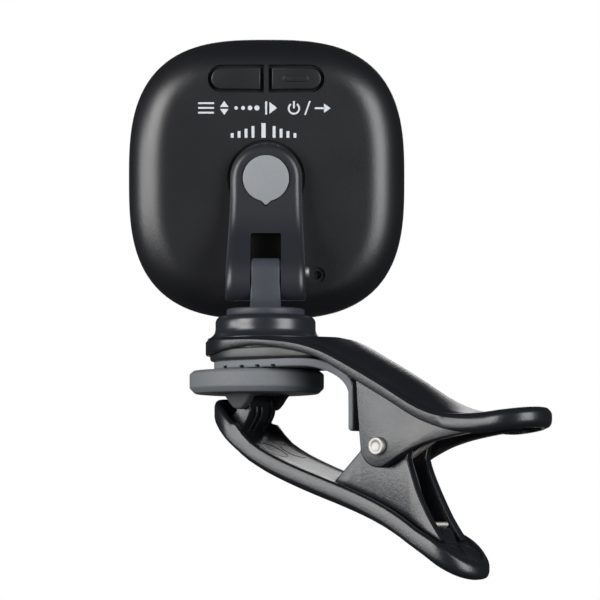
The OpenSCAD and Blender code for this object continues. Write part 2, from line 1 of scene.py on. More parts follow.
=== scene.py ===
"""Clip-on device: a display head on a tilting fork bracket, a neck and collar, and a sprung clip.

The neck stands on the world Z axis. The head leans about the hinge pin, which lies along X; its
back, with the keys and printed signs, faces -Y. The clip hangs below, turned about Z.
"""
import json
import math
from functools import partial
import bpy
import bmesh
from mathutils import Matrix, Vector


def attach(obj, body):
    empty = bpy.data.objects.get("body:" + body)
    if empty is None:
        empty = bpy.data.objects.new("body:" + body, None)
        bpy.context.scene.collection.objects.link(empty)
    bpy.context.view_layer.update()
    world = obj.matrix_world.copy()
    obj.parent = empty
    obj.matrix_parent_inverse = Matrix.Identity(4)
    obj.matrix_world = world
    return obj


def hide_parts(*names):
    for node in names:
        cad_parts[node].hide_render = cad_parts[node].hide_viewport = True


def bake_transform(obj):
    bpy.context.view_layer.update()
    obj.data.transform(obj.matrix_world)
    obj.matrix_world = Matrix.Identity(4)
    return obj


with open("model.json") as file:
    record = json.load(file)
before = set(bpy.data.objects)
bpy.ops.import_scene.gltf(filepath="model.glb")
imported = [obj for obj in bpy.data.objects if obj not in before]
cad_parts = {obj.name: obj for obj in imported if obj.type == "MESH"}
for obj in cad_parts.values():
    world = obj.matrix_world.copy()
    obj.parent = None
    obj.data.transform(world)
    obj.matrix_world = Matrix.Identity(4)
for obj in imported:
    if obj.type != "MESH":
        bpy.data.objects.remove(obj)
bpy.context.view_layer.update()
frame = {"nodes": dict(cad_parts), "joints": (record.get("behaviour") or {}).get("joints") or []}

MM = 0.001

# ---------------------------------------------------------------- driving sizes and frames
JOINTS = {joint["name"]: joint for joint in frame["joints"]}
clip_axis = JOINTS["clip_open"]["axis"]
spin_axis = JOINTS["head_spin"]["axis"]
CLIP_YAW = math.atan2(-clip_axis[0], -clip_axis[1])
HEAD_LEAN = math.atan2(spin_axis[2], spin_axis[1])
PIN_Z = JOINTS["head_tilt"]["pos_m"][2] / MM

HEAD_Z = 14.1            # head centre above the hinge pin
BACK = 7.0               # pin axis to the head's back
FRONT = BACK + 13.0      # pin axis to the head's front
SEAM = 16.4              # pin axis to the joint of shell and bezel
PIVOT = (23.2, -11.7)    # clip pivot (along, z)
AXLE = (-1.6, -4.7)      # pad axle (along, z)
TO_MIDDLE = 99           # an inset that always reaches the middle line


def from_clip(point):
    """Clip frame (along, across, z) to the world."""
    along, across, z = point
    cos_yaw, sin_yaw = math.cos(CLIP_YAW), math.sin(CLIP_YAW)
    return Vector((along * cos_yaw + across * sin_yaw, -along * sin_yaw + across * cos_yaw, z))


def from_head(point):
    """Head frame (x, y to the front, z up, origin on the pin) to the world."""
    x, y, z = point
    cos_lean, sin_lean = math.cos(HEAD_LEAN), math.sin(HEAD_LEAN)
    return Vector((x, y * cos_lean - z * sin_lean, PIN_Z + y * sin_lean + z * cos_lean))


# ---------------------------------------------------------------- plane geometry
def curve(points, steps=6):
    """Catmull-Rom curve through the points, with so many steps to a span."""
    last = len(points) - 1
    out = []
    for i in range(last):
        span = points[max(i - 1, 0)], points[i], points[i + 1], points[min(i + 2, last)]
        for k in range(steps):
            t = k / steps
            out.append(tuple(
                0.5 * (2 * p1 + (p2 - p0) * t + (2 * p0 - 5 * p1 + 4 * p2 - p3) * t * t
                       + (3 * p1 - p0 - 3 * p2 + p3) * t ** 3)
                for p0, p1, p2, p3 in zip(*span)))
    out.append(tuple(points[-1]))
    return out


def interpolator(points):
    """Straight-line lookup through (x, value) points, held flat beyond the ends."""
    def value_at(x):
        if x <= points[0][0]:
            return points[0][1]
        for (x0, value0), (x1, value1) in zip(points, points[1:]):
            if x <= x1:
                t = (x - x0) / max(x1 - x0, 1e-9)
                return value0 * (1 - t) + value1 * t
        return points[-1][1]
    return value_at


def smooth_step(start, end, x):
    t = min(1, max(0, (x - start) / (end - start)))
    return t * t * (3 - 2 * t)


def arc(x, y, radius, degrees):
    return [(x + radius * math.cos(math.radians(angle)), y + radius * math.sin(math.radians(angle)))
            for angle in degrees]


def quarter_turn(steps):
    """Angles in radians from 0 to a right angle."""
    return [math.radians(90 * k / steps) for k in range(steps + 1)]


def mirrored(points):
    """The points run backwards with their second coordinate turned over."""
    return [(x, -y) for x, y in reversed(points)]


def direction(start, end):
    return Vector((end[0] - start[0], end[1] - start[1]))


def pulled(point, target, inset):
    """The point moved towards a target, at most onto it."""
    way = direction(point, target)
    share = min(1, inset / way.length) if way.length > 1e-6 else 1
    return point[0] + way.x * share, point[1] + way.y * share


def inset_outline(points, inset):
    """Moves a closed outline inward, whichever way round it runs."""
    following = points[1:] + points[:1]
    area = sum(a[0] * b[1] - b[0] * a[1] for a, b in zip(points, following))
    side = 1 if area > 0 else -1
    out = []
    for i, (here, after) in enumerate(zip(points, following)):
        before = points[i - 1]
        edge_in, edge_out = direction(before, here), direction(here, after)
        if edge_in.length < 1e-9 or edge_out.length < 1e-9:
            edge_in = edge_out = direction(before, after)
        edge_in, edge_out = edge_in.normalized(), edge_out.normalized()
        normal_in = Vector((-edge_in.y, edge_in.x))
        middle = normal_in + Vector((-edge_out.y, edge_out.x))
        if middle.length < 1e-6:
            middle = normal_in
        middle = middle.normalized()
        reach = inset / max(0.45, middle.dot(normal_in))   # the floor limits sharp corners
        out.append((here[0] + side * middle.x * reach, here[1] + side * middle.y * reach))
    return out


def rounded_profile(profile, steps):
    """Corners given as (radius, height, rounding) become curves."""
    out = []
    for i, corner in enumerate(profile):
        if len(corner) < 3:
            out.append(corner)
            continue
        before, here, after = (Vector(profile[j][:2]) for j in (i - 1, i, i + 1))
        to_before, to_after = before - here, after - here
        shortest = min(to_before.length * 0.49, to_after.length * 0.49)
        to_before, to_after = to_before.normalized(), to_after.normalized()
        half_angle = math.acos(max(-1, min(1, to_before.dot(to_after)))) / 2
        setback = min(corner[2] / math.tan(half_angle), shortest)
        start, end = here + to_before * setback, here + to_after * setback
        for k in range(steps + 1):
            t = k / steps
            out.append(tuple(start.lerp(here, t).lerp(here.lerp(end, t), t)))
    return out


# ---------------------------------------------------------------- solids: (vertices, faces)
def band_faces(count, rows, closed=False):
    """Quads between rows of count points; closed joins the last row to the first."""
    return [(i * count + k, i * count + (k + 1) % count,
             (i + 1) % rows * count + (k + 1) % count, (i + 1) % rows * count + k)
            for i in range(rows if closed else rows - 1) for k in range(count)]


def rings(rows, capped=True):
    """Skin over closed rings of equal length; a cap fans out from the end ring's middle."""
    count = len(rows[0])
    verts = [tuple(point) for row in rows for point in row]
    faces = band_faces(count, len(rows))
    for row in (0, len(rows) - 1) if capped else ():
        verts.append(tuple(sum(point[j] for point in rows[row]) / count for j in range(3)))
        first = row * count
        faces += [(first + k, first + (k + 1) % count, len(verts) - 1) for k in range(count)]
    return verts, faces


def loop_rings(rows):
    """Rings closed both ways, as a frame."""
    return [point for row in rows for point in row], band_faces(len(rows[0]), len(rows), True)


def along_x(point, height):
    return (height, point[0], point[1])


def along_y(point, height):
    return (point[0], height, point[1])


def along_z(point, height):
    return (point[0], point[1], height)


def prism(outline, start, end, radius=0.0, steps=3, place=along_y, start_radius=None):
    """Outline drawn out from start to end, its end edges rounded."""
    if start_radius is None:
        start_radius = radius
    rows = []
    for edge, rounding, sign, order in ((start, start_radius, 1, range(steps + 1)),
                                        (end, radius, -1, range(steps, -1, -1))):
        for k in order:
            turn = math.pi / 2 * k / steps
            if rounding > 0 or k == steps:
                rows.append((rounding * (1 - math.sin(turn)),
                             edge + sign * rounding * (1 - math.cos(turn))))
    count = len(outline)
    verts = []
    for inset, height in rows:
        row = inset_outline(outline, inset) if inset > 1e-9 else outline
        verts += [place(point, height) for point in row]
    faces = band_faces(count, len(rows))
    faces.append(tuple(range(count)))
    faces.append(tuple((len(rows) - 1) * count + k for k in range(count)))
    return verts, faces


def plate_pair(outline, inner, outer, radius, steps=3, place=along_y):
    """The same plate on both sides of the middle plane."""
    return [prism(outline, -outer, -inner, radius, steps, place),
            prism(outline, inner, outer, radius, steps, place)]


def lathe(profile, segments=96, axis="z", centre=(0, 0, 0)):
    """Profile of (radius, height) turned about an axis; ends at radius 0 are capped."""
    place = {"x": along_x, "y": along_y, "z": along_z}[axis]
    rows = []
    for radius, height in profile:
        radius = max(radius, 1e-4)
        row = []
        for k in range(segments):
            turn = 2 * math.pi * k / segments
            local = place((radius * math.cos(turn), radius * math.sin(turn)), height)
            row.append(tuple(a + b for a, b in zip(local, centre)))
        rows.append(row)
    return rings(rows, profile[0][0] < 1e-3)


def rod(radius, start, end, segments, axis="y", centre=(0, 0, 0)):
    return lathe([(0, start), (radius, start), (radius, end), (0, end)], segments, axis, centre)


def tube(path, radius, segments=14):
    path = [Vector(point) for point in path]
    last = len(path) - 1
    tangents = [(path[min(i + 1, last)] - path[max(i - 1, 0)]).normalized()
                for i in range(last + 1)]
    side = tangents[0].cross(Vector((0.13, 0.2, 0.97))).normalized()
    rows = []
    for point, tangent in zip(path, tangents):
        side = (side - tangent * side.dot(tangent)).normalized()
        other = tangent.cross(side)
        turns = [2 * math.pi * k / segments for k in range(segments)]
        rows.append([tuple(point + (side * math.cos(turn) + other * math.sin(turn)) * radius)
                     for turn in turns])
    return rings(rows)


def raised_circle(x, y, radius, wire, surface, segments=44, sides=6):
    """A thin raised circle lying on surface(x)."""
    rows = []
    for i in range(sides):
        around = 2 * math.pi * i / sides
        reach = radius * (1 + wire * math.cos(around) / radius)
        row = []
        for k in range(segments):
            turn = 2 * math.pi * k / segments
            at_x = x + reach * math.cos(turn)
            row.append((at_x, y + reach * math.sin(turn), surface(at_x) + wire * math.sin(around)))
        rows.append(row)
    return loop_rings(rows)


# ---------------------------------------------------------------- objects
def build(name, solids, place=Vector):
    """One object, in mm, out of several solids."""
    verts, faces = [], []
    for solid_verts, solid_faces in solids:
        first = len(verts)
        verts += [place(point) for point in solid_verts]
        faces += [tuple(i + first for i in face) for face in solid_faces]
    mesh = bpy.data.meshes.new(name)
    mesh.from_pydata(verts, [], faces)
    bm = bmesh.new()
    bm.from_mesh(mesh)
    bmesh.ops.remove_doubles(bm, verts=bm.verts, dist=0.004)
    bmesh.ops.dissolve_degenerate(bm, edges=bm.edges, dist=0.002)
    bmesh.ops.recalc_face_normals(bm, faces=bm.faces)
    bm.to_mesh(mesh)
    bm.free()
    mesh.update()
    part = bpy.data.objects.new(name, mesh)
    bpy.context.scene.collection.objects.link(part)
    return part


def combine(part, solids, operation="DIFFERENCE"):
    """Cuts solids out of the part, or joins them to it."""
    tool = build("cutter", solids)
    modifier = part.modifiers.new("cut", "BOOLEAN")
    modifier.operation = operation
    modifier.object = tool
    modifier.solver = "EXACT"
    bpy.context.view_layer.update()
    depsgraph = bpy.context.evaluated_depsgraph_get()
    mesh = bpy.data.meshes.new_from_object(part.evaluated_get(depsgraph))
    part.modifiers.clear()
    old_mesh, tool_mesh = part.data, tool.data
    part.data = mesh
    bpy.data.meshes.remove(old_mesh)
    bpy.data.objects.remove(tool)
    bpy.data.meshes.remove(tool_mesh)


def move(part, place):
    for vertex in part.data.vertices:
        vertex.co = place(vertex.co)


def finish(part, body, material_name, nodes=(), bevel=0.0, sharp=32):
    """Marks edges sharper than sharp degrees, scales to metres, gives the material and parents the
    part to its body's empty, or bakes it in place for a tuple body.
    """
    limit = math.radians(sharp)
    bm = bmesh.new()
    bm.from_mesh(part.data)
    bmesh.ops.remove_doubles(bm, verts=bm.verts, dist=0.003)
    for edge in bm.edges:
        edge.smooth = not (len(edge.link_faces) == 2 and edge.calc_face_angle(0) > limit)
    for face in bm.faces:
        face.smooth = True
    bmesh.ops.scale(bm, vec=(MM,) * 3, verts=bm.verts)
    bm.to_mesh(part.data)
    bm.free()
    part.data.update()
    if bevel:
        modifier = part.modifiers.new("edge", "BEVEL")
        modifier.width = bevel * MM
        modifier.segments = 2
        modifier.limit_method = "ANGLE"
        modifier.angle_limit = limit
        modifier.harden_normals = True
        modifier.use_clamp_overlap = True
        modifier.miter_outer = "MITER_ARC"
    part.data.materials.clear()
    part.data.materials.append(MATERIALS[material_name])
    if isinstance(body, tuple):
        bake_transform(part)
    else:
        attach(part, body)
    if nodes:
        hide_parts(*nodes)


# ---------------------------------------------------------------- materials
MATERIALS = {}


def srgb(*levels):
    """8-bit sRGB levels to linear colour."""
    return tuple(level / 255 / 12.92 if level / 255 <= 0.04045
                 else ((level / 255 + 0.055) / 1.055) ** 2.4 for level in levels)


def add_node(tree, kind, inputs=(), **settings):
    """Adds a shader node; an input given as a socket is linked, any other is a value."""
    node = tree.nodes.new("ShaderNode" + kind)
    for key, value in settings.items():
        setattr(node, key, value)
    for key, value in dict(inputs).items():
        if isinstance(value, bpy.types.NodeSocket):
            tree.links.new(value, node.inputs[key])
        else:
            node.inputs[key].default_value = value
    return node


def empty_material(name):
    """A material without nodes, and the function that adds nodes to it."""
    material = bpy.data.materials.new(name)
    material.use_nodes = True
    material.node_tree.nodes.clear()
    return material, partial(add_node, material.node_tree)


def surface(name, colour, *, rough, grain, grain_mm=0.25, metal=0.0, wear=0.35, spread=0.12,
            mottle=0.10, specular=0.5, coat=0.0, edge=None, rough_range=0.06, scratch=0.0):
    """Grained surface with cloudy colour and roughness, and paler worn edges.

    grain: depth of the relief; grain_mm: its size; spread: how far it tints the colour;
    mottle: colour cloud; wear: share of the edge colour; scratch: stretched relief.
    """
    material, node = empty_material(name)
    coords = node("TexCoord").outputs["Object"]
    mapped = node("Mapping", {"Vector": coords}).outputs[0]
    fine = node("TexNoise", {"Vector": mapped, "Scale": 1000.0 / grain_mm / 2, "Detail": 3,
                             "Roughness": 0.6}).outputs["Fac"]
    cloud = node("TexNoise", {"Vector": coords, "Scale": 140, "Detail": 4}).outputs["Fac"]
    dark = tuple(c * (1 - mottle) for c in colour) + (1,)
    light = tuple(min(1, c * (1 + mottle) + 0.002) for c in colour) + (1,)
    mottled = node("Mix", {"A": dark, "B": light, "Factor": cloud},
                   data_type="RGBA").outputs["Result"]
    tint = node("Mix", {"A": mottled, "B": fine, "Factor": spread},
                data_type="RGBA", blend_type="OVERLAY").outputs["Result"]
    if wear:
        # An edge is where a rounded normal leaves the true one.
        rounded = node("Bevel", {"Radius": 0.00018}, samples=4).outputs[0]
        true = node("NewGeometry").outputs["Normal"]
        match = node("VectorMath", {0: rounded, 1: true}, operation="DOT_PRODUCT")
        at_edge = node("MapRange", {"Value": match.outputs["Value"], "From Min": 0.985,
                                    "From Max": 0.90}).outputs[0]
        patchy = node("Math", {0: at_edge, 1: cloud}, operation="MULTIPLY").outputs[0]
        worn = node("Math", {0: patchy, 1: wear}, operation="MULTIPLY").outputs[0]
        edge = edge or tuple(min(1, c * 2.2 + 0.03) for c in colour)
        tint = node("Mix", {"Factor": worn, "A": tint, "B": edge + (1,)},
                    data_type="RGBA").outputs["Result"]
    roughness = node("MapRange", {"Value": cloud, "To Min": max(0.02, rough - rough_range),
                                  "To Max": min(1, rough + rough_range)}).outputs[0]
    normal = node("Bump", {"Height": fine, "Strength": min(1, grain),
                           "Distance": 0.00003}).outputs[0]
    if scratch:
        stretched = node("Mapping", {"Vector": coords, "Scale": (0.08, 1.0, 1.6),
                                     "Rotation": (0.5, 0.4, 0.3)}).outputs[0]
        lines = node("TexNoise", {"Vector": stretched, "Scale": 900}).outputs["Fac"]
        normal = node("Bump", {"Height": lines, "Normal": normal, "Strength": scratch,
                               "Distance": 0.00002}).outputs[0]
    inputs = {"Base Color": tint, "Roughness": roughness, "Normal": normal, "Metallic": metal,
              "Specular IOR Level": specular}
    if coat:
        inputs |= {"Coat Weight": coat, "Coat Roughness": 0.08}
    node("OutputMaterial", {0: node("BsdfPrincipled", inputs).outputs[0]})
    material.diffuse_color = colour + (1,)
    MATERIALS[name] = material


surface("shell_plastic", srgb(19, 20, 25), rough=0.38, grain=0.60, grain_mm=0.20, wear=0.25,
        mottle=0.05, rough_range=0.03, specular=0.9)
surface("bezel_plastic", srgb(28, 29, 32), rough=0.40, grain=0.4, grain_mm=0.16, wear=0.3)
surface("button_plastic", srgb(30, 31, 34), rough=0.42, grain=0.25, grain_mm=0.2, wear=0.5)
surface("bracket_plastic", srgb(38, 40, 46), rough=0.38, specular=0.7, grain=0.35, grain_mm=0.18,
        wear=0.3, mottle=0.05, rough_range=0.03)
surface("cap_plastic", srgb(152, 156, 160), rough=0.42, grain=0.2, grain_mm=0.2, wear=0.3,
        spread=0.05, mottle=0.03)
# Painted sheen: the neck is the same black plastic as the other parts, lightened by the light it
# reflects.
surface("neck_plastic", srgb(62, 66, 74), rough=0.50, grain=0.3, grain_mm=0.2, mottle=0.05)
surface("collar_plastic", srgb(36, 39, 46), rough=0.30, specular=0.8, grain=0.2)
surface("clip_plastic", srgb(24, 26, 31), rough=0.32, specular=0.7, grain=0.75, grain_mm=0.24,
        wear=0.55, mottle=0.08, rough_range=0.05)
surface("carrier_plastic", srgb(34, 35, 37), rough=0.42, specular=0.7, grain=0.5, grain_mm=0.3,
        wear=0.4)
RUBBER = dict(grain=0.45, grain_mm=0.22, wear=0.2, spread=0.10, mottle=0.06, specular=0.35)
surface("grip_rubber", srgb(124, 127, 131), rough=0.62, **RUBBER)
surface("pin_nickel", (0.50, 0.49, 0.47), rough=0.58, metal=1.0, grain=0.25, grain_mm=0.3,
        wear=0.2, mottle=0.06, scratch=0.6, edge=(0.95, 0.95, 0.95))
surface("spring_steel", (0.80, 0.78, 0.74), rough=0.46, metal=0.85, grain=0.2, grain_mm=0.3,
        wear=0.2, scratch=0.3)
surface("ink_print", srgb(222, 227, 232), rough=0.50, grain=0.15, grain_mm=0.2, wear=0.0,
        spread=0.04, mottle=0.02)
surface("lens_acrylic", (0.006, 0.006, 0.008), rough=0.06, grain=0.03, grain_mm=1.2, wear=0.1,
        spread=0.02, mottle=0.02, coat=0.6, rough_range=0.02)
surface("screw_steel", (0.66, 0.66, 0.67), rough=0.28, metal=1.0, grain=0.3, wear=0.3, scratch=0.4)
surface("switch_steel", (0.60, 0.60, 0.60), rough=0.33, metal=1.0, grain=0.3, grain_mm=0.2,
        wear=0.3)
surface("port_steel", (0.68, 0.68, 0.70), rough=0.26, metal=1.0, grain=0.2, wear=0.3, scratch=0.3)
surface("washer_steel", (0.60, 0.60, 0.61), rough=0.30, metal=1.0, grain=0.3, wear=0.3)
surface("black_nylon", srgb(30, 31, 33), rough=0.5, grain=0.3, grain_mm=0.3, wear=0.3)
# Painted shade: the grip rubber, darkened for the lugs that sit in the shade under the pad.
surface("lug_rubber_painted_shade", srgb(72, 75, 79), rough=0.6, **RUBBER)
surface("natural_nylon", srgb(214, 210, 196), rough=0.45, grain=0.25, grain_mm=0.3, wear=0.2)
surface("board_laminate", srgb(20, 74, 44), rough=0.38, grain=0.35, grain_mm=0.35, wear=0.3,
        edge=srgb(150, 140, 90))
surface("chip_epoxy", srgb(28, 28, 30), rough=0.55, grain=0.6, grain_mm=0.15, wear=0.2)
surface("battery_foil", (0.55, 0.56, 0.58), rough=0.34, metal=0.9, grain=0.4, grain_mm=1.2,
        wear=0.2)
surface("foam_pad", srgb(40, 40, 42), rough=0.9, grain=1.0, grain_mm=0.5, wear=0.0, spread=0.3)
surface("brass_disc", (0.62, 0.44, 0.17), rough=0.30, metal=1.0, grain=0.3, grain_mm=0.3, wear=0.2)
surface("piezo_ceramic_mat", srgb(226, 222, 208), rough=0.55, grain=0.5, grain_mm=0.2, wear=0.1)
surface("lcd_glass", srgb(58, 66, 62), rough=0.12, grain=0.05, grain_mm=0.5, wear=0.1, coat=0.3)
surface("diffuser_acrylic", srgb(232, 234, 232), rough=0.35, grain=0.2, grain_mm=0.4, wear=0.1)
surface("flex_film", srgb(190, 120, 40), rough=0.30, grain=0.2, grain_mm=0.4, wear=0.1)

# ---------------------------------------------------------------- head: rear shell
HEAD_HALF = 21.3
WIDTH_SCALE, HEIGHT_SCALE = 0.9935, 1.008    # the outline is a little narrower than tall
CORNER_POWER = 2.9                           # exponent of the rounded-square outline
OUTLINE_POINTS = 144
WALL = 1.3
BACK_ROUND = 6
INNER_ROUND = BACK_ROUND - WALL


def head_ring(inset, y, scale=1.0):
    """The head's outline moved inward along its normals, at depth y."""
    ring = []
    for i in range(OUTLINE_POINTS):
        turn = 2 * math.pi * (i + 0.5) / OUTLINE_POINTS
        x, z = math.cos(turn), math.sin(turn)
        radius = HEAD_HALF / (abs(x) ** CORNER_POWER + abs(z) ** CORNER_POWER) ** (1 / CORNER_POWER)
        x, z = radius * x * WIDTH_SCALE, radius * z * HEIGHT_SCALE
        normal = Vector((math.copysign(x * x, x), math.copysign(z * z, z))).normalized()
        ring.append(((x - normal.x * inset) * scale, y, (z - normal.y * inset) * scale + HEAD_Z))
    return ring


rows = [head_ring(BACK_ROUND, BACK, scale) for scale in (0.25, 0.6, 0.93)]
rows += [head_ring(BACK_ROUND - BACK_ROUND * math.cos(turn),
                   BACK + BACK_ROUND - BACK_ROUND * math.sin(turn))
         for turn in reversed(quarter_turn(16))]
rows += [head_ring(inset, y) for inset, y in (
    (0, 14.6), (0, SEAM - 0.12), (0.10, SEAM), (WALL, SEAM), (WALL, 14.0))]
rows += [head_ring(BACK_ROUND - INNER_ROUND * math.cos(turn),
                   BACK + BACK_ROUND - INNER_ROUND * math.sin(turn)) for turn in quarter_turn(8)]
rows += [head_ring(BACK_ROUND, BACK + WALL, scale) for scale in (0.9, 0.3)]
shell = build("rear_shell", [rings(rows)])

KEY_Z = HEAD_Z + 15.15
KEY_START, KEY_END, KEY_HALF = 0.85, 8.35, 1.63    # x of both ends, half height
CUT_START = BACK - 1                               # cuts begin clear of the back


def key_outline(side, gap=0.0):
    """Key shape grown by gap, square near the middle plane and round at the far end."""
    centre, reach = KEY_END - KEY_HALF, KEY_HALF + gap
    points = [(KEY_START - gap, -reach), (centre, -reach)]
    points += arc(centre, 0, reach, [-90 + 180 * k / 14 for k in range(1, 14)])
    points += [(centre, reach), (KEY_START - gap, reach)]
    return [(side * x, z + KEY_Z) for x, z in points]


combine(shell, [prism(key_outline(side, 0.50), CUT_START, BACK + 2.2) for side in (-1, 1)])
combine(shell, [rod(5.9, CUT_START, BACK + 0.55, 96, centre=(0, 0, HEAD_Z))])
# small stepped hole low on the back
HOLE = (7.75, 0, HEAD_Z - 14.6)
combine(shell, [rod(1.2, CUT_START, BACK + 0.4, 48, centre=HOLE)])
combine(shell, [rod(0.64, BACK, BACK + 1.25, 32, centre=HOLE)])
# side opening for the charging socket, in the -X wall
SOCKET_Y, SOCKET_RADIUS, SOCKET_HALF = BACK + 7.25, 1.4, 2.6
opening = arc(SOCKET_Y, HEAD_Z + SOCKET_HALF, SOCKET_RADIUS, range(180, -1, -15))
opening += arc(SOCKET_Y, HEAD_Z - SOCKET_HALF, SOCKET_RADIUS, range(0, -181, -15))
combine(shell, [prism(opening, -HEAD_HALF - 2, -HEAD_HALF + 3.2, place=along_x)])
move(shell, from_head)
finish(shell, "head", "shell_plastic", ("rear_cover",), bevel=0.10, sharp=34)

# ---------------------------------------------------------------- head: bezel and window
BEZEL_ROUND = 2.1
rows = [head_ring(0.10, SEAM + 0.02), head_ring(0, SEAM + 0.14), head_ring(0, FRONT - BEZEL_ROUND)]
rows += [head_ring(BEZEL_ROUND - BEZEL_ROUND * math.cos(turn),
                   FRONT - BEZEL_ROUND + BEZEL_ROUND * math.sin(turn))
         for turn in quarter_turn(8)[1:]]
rows += [head_ring(inset, y) for inset, y in (
    (3.45, FRONT), (3.6, FRONT - 0.12), (3.6, FRONT - 1.5), (4.5, FRONT - 1.5),
    (4.5, FRONT - 2.4), (1.35, FRONT - 2.4), (1.35, SEAM + 0.02))]
bezel = build("bezel_ring", [loop_rings(rows)], from_head)
finish(bezel, "head", "bezel_plastic", sharp=40)

lens = build("lens_window", [rings([head_ring(inset, FRONT - depth) for inset, depth in (
    (9, 1.5), (3.7, 1.5), (3.7, 0.45), (3.74, 0.36), (3.85, 0.3), (9, 0.3))])], from_head)
finish(lens, "head", "lens_acrylic", ("display_lens",), sharp=30)

# ---------------------------------------------------------------- keys
KEY_FLOOR = BACK + 1.9
for name, side, node_name, body in (("key_mode", -1, "mode_button", "mode_key"),
                                    ("key_power", 1, "power_button", "power_key")):
    solids = [prism(key_outline(side), BACK - 0.02, KEY_FLOOR, 0.05, 5, start_radius=0.24),
              prism(key_outline(side, 0.44), BACK + 1.1, KEY_FLOOR)]
    if side > 0:
        # raised bar on the +X key
        bar = arc(5.95, KEY_Z, 0.52, range(-90, 91, 15)) + arc(3.05, KEY_Z, 0.52, range(90, 271, 15))
        solids.append(prism(bar, BACK - 0.14, BACK + 0.3, start_radius=0.14))
    finish(build(name, solids, from_head), body, "button_plastic",
           (node_name,), sharp=50)

# ---------------------------------------------------------------- printed signs on the back
SIGN_Z = 14.0    # height of the signs' own zero


def sign(name, outlines):
    solids = [prism([(x, z + SIGN_Z) for x, z in outline], BACK - 0.014, BACK + 0.05)
              for outline in outlines]
    finish(build(name, solids, from_head), "head", "ink_print")


def box(x0, x1, z0, z1):
    return [(x0, z0), (x1, z0), (x1, z1), (x0, z1)]


def arc_band(x, z, inner, outer, start, end, steps):
    turns = [(end - start) * k / steps for k in range(steps + 1)]
    return (arc(x, z, outer, [start + turn for turn in turns])
            + arc(x, z, inner, [end - turn for turn in turns]))


# three list lines, up and down arrows, four growing dots and a divider
sign("icon_mode",
     [box(-10.3, -7.9, 9.95 + 0.72 * k, 10.22 + 0.72 * k) for k in range(3)]
     + [[(-7.0, 10.95), (-5.7, 10.95), (-6.35, 11.85)],
        [(-7.0, 10.65), (-6.35, 9.75), (-5.7, 10.65)]]
     + [arc_band(-4.55 + 1.05 * k, 10.8, 0.0001, 0.26 + 0.045 * k, 0, 359.9, 16) for k in range(4)]
     + [box(-0.15, 0.13, 9.8, 11.8), [(0.5, 9.9), (1.65, 10.8), (0.5, 11.7)]])
# power sign, slanted divider and an arrow
sign("icon_power", [
    arc_band(4.2, 10.72, 0.66, 0.93, 125, 415, 28), box(4.06, 4.34, 10.75, 11.85),
    [(5.75, 9.75), (6.0, 9.75), (6.75, 11.85), (6.5, 11.85)],
    box(7.35, 8.9, 10.62, 10.9), [(8.75, 10.05), (9.75, 10.76), (8.75, 11.47)]])
# meter: ticks shrinking away from a tall centre mark
ticks = []
for k, height in ((1, 1.75), (2, 1.35), (3, 1.0), (4, 0.7)):
    for side in (-1, 1):
        x = -0.4 + side * (0.55 + 1.05 * k)
        ticks.append(box(x - 0.22, x + 0.22, 6.3, 6.3 + height))
sign("icon_meter", ticks + [box(-0.72, -0.08, 6.3, 8.5)])

# ---------------------------------------------------------------- fork bracket
BRACKET_RADIUS = 5.4
BRACKET_ROUND = 1.15
# (z, y) down the face turned away from the head
outer_face = interpolator(sorted(curve([
    (HEAD_Z + 5.6, BACK - 2.3), (HEAD_Z + 3.5, BACK - 2.55), (HEAD_Z, BACK - 2.7),
    (HEAD_Z - 3.5, BACK - 3.1), (6.6, BACK - 4.4), (3.6, BACK - 6.6), (1.2, BACK - 8.6),
    (-1, BACK - 9.4), (-3, BACK - 9.2), (-4.2, BACK - 8.2)], 8)))
# (z, y) up the face turned to the head
head_face = interpolator([(-4.3, 2.7), (-2.5, 3.4), (3.5, BACK - 0.4), (5, BACK - 0.08),
                          (25, BACK - 0.08)])
# (x, z) of the +X half, from the top down
half = [(BRACKET_RADIUS * math.sin(math.radians(angle)),
         HEAD_Z + BRACKET_RADIUS * math.cos(math.radians(angle))) for angle in range(0, 91, 6)]
half += curve([(BRACKET_RADIUS, HEAD_Z), (5.42, 11.5), (5.5, 9), (5.6, 7), (5.72, 4.5),
               (5.85, 2), (5.97, -0.6), (6.05, -3.7)], 4)[1:]
half += arc(5.55, -3.8, 0.5, range(0, -91, -15))
half += [(4.4, -4.3), (3.0, -4.3), (1.5, -4.3)]
bracket_outline = half + [(0, -4.3)] + [(-x, z) for x, z in reversed(half[1:])]


def bracket_ring(inset, depth):
    """Outline drawn in towards the middle line; depth(z) gives y."""
    ring = []
    for x, z in bracket_outline:
        middle = (0, min(z, HEAD_Z) if z > 8 else max(z, -3.6))
        x, z = pulled((x, z), middle, inset)
        ring.append((x, depth(z), z))
    return ring


def edge_depth(turn):
    """Depth function of one step round the outer edge."""
    rise = BRACKET_ROUND * (1 - math.sin(turn))
    return lambda z: min(outer_face(z) + rise, head_face(z) - 0.3)


rows = [bracket_ring(inset, head_face) for inset in (TO_MIDDLE, 2.5, 0.25)]
rows += [bracket_ring(0.06, lambda z: head_face(z) - 0.08),
         bracket_ring(0, lambda z: head_face(z) - 0.25)]
rows += [bracket_ring(BRACKET_ROUND * (1 - math.cos(turn)), edge_depth(turn))
         for turn in quarter_turn(8)]
rows += [bracket_ring(inset, outer_face) for inset in (1.8, 2.8, 4.2, TO_MIDDLE)]
bracket = build("fork_bracket", [rings(rows, capped=False)])
fork_slot = [(-2.3, -8), (2.3, -8), (2.3, 5.5), (2.22, 5.75), (2.0, 5.85), (-2.0, 5.85),
             (-2.22, 5.75), (-2.3, 5.5)]
combine(bracket, [prism(fork_slot, -12, 12)])


def pointer_disc(radius, half_width, tip, steps=110):
    """Disc outline with a small pointer at the bottom that reaches to tip."""
    gap = math.asin(half_width / radius)
    points = []
    for k in range(steps + 1):
        turn = -math.pi / 2 + gap + (2 * math.pi - 2 * gap) * k / steps
        points.append((radius * math.cos(turn), HEAD_Z + radius * math.sin(turn)))
    blunt = half_width * 0.28
    return points + [(-blunt, HEAD_Z - tip + 0.12), (0, HEAD_Z - tip),
                     (blunt, HEAD_Z - tip + 0.12)]


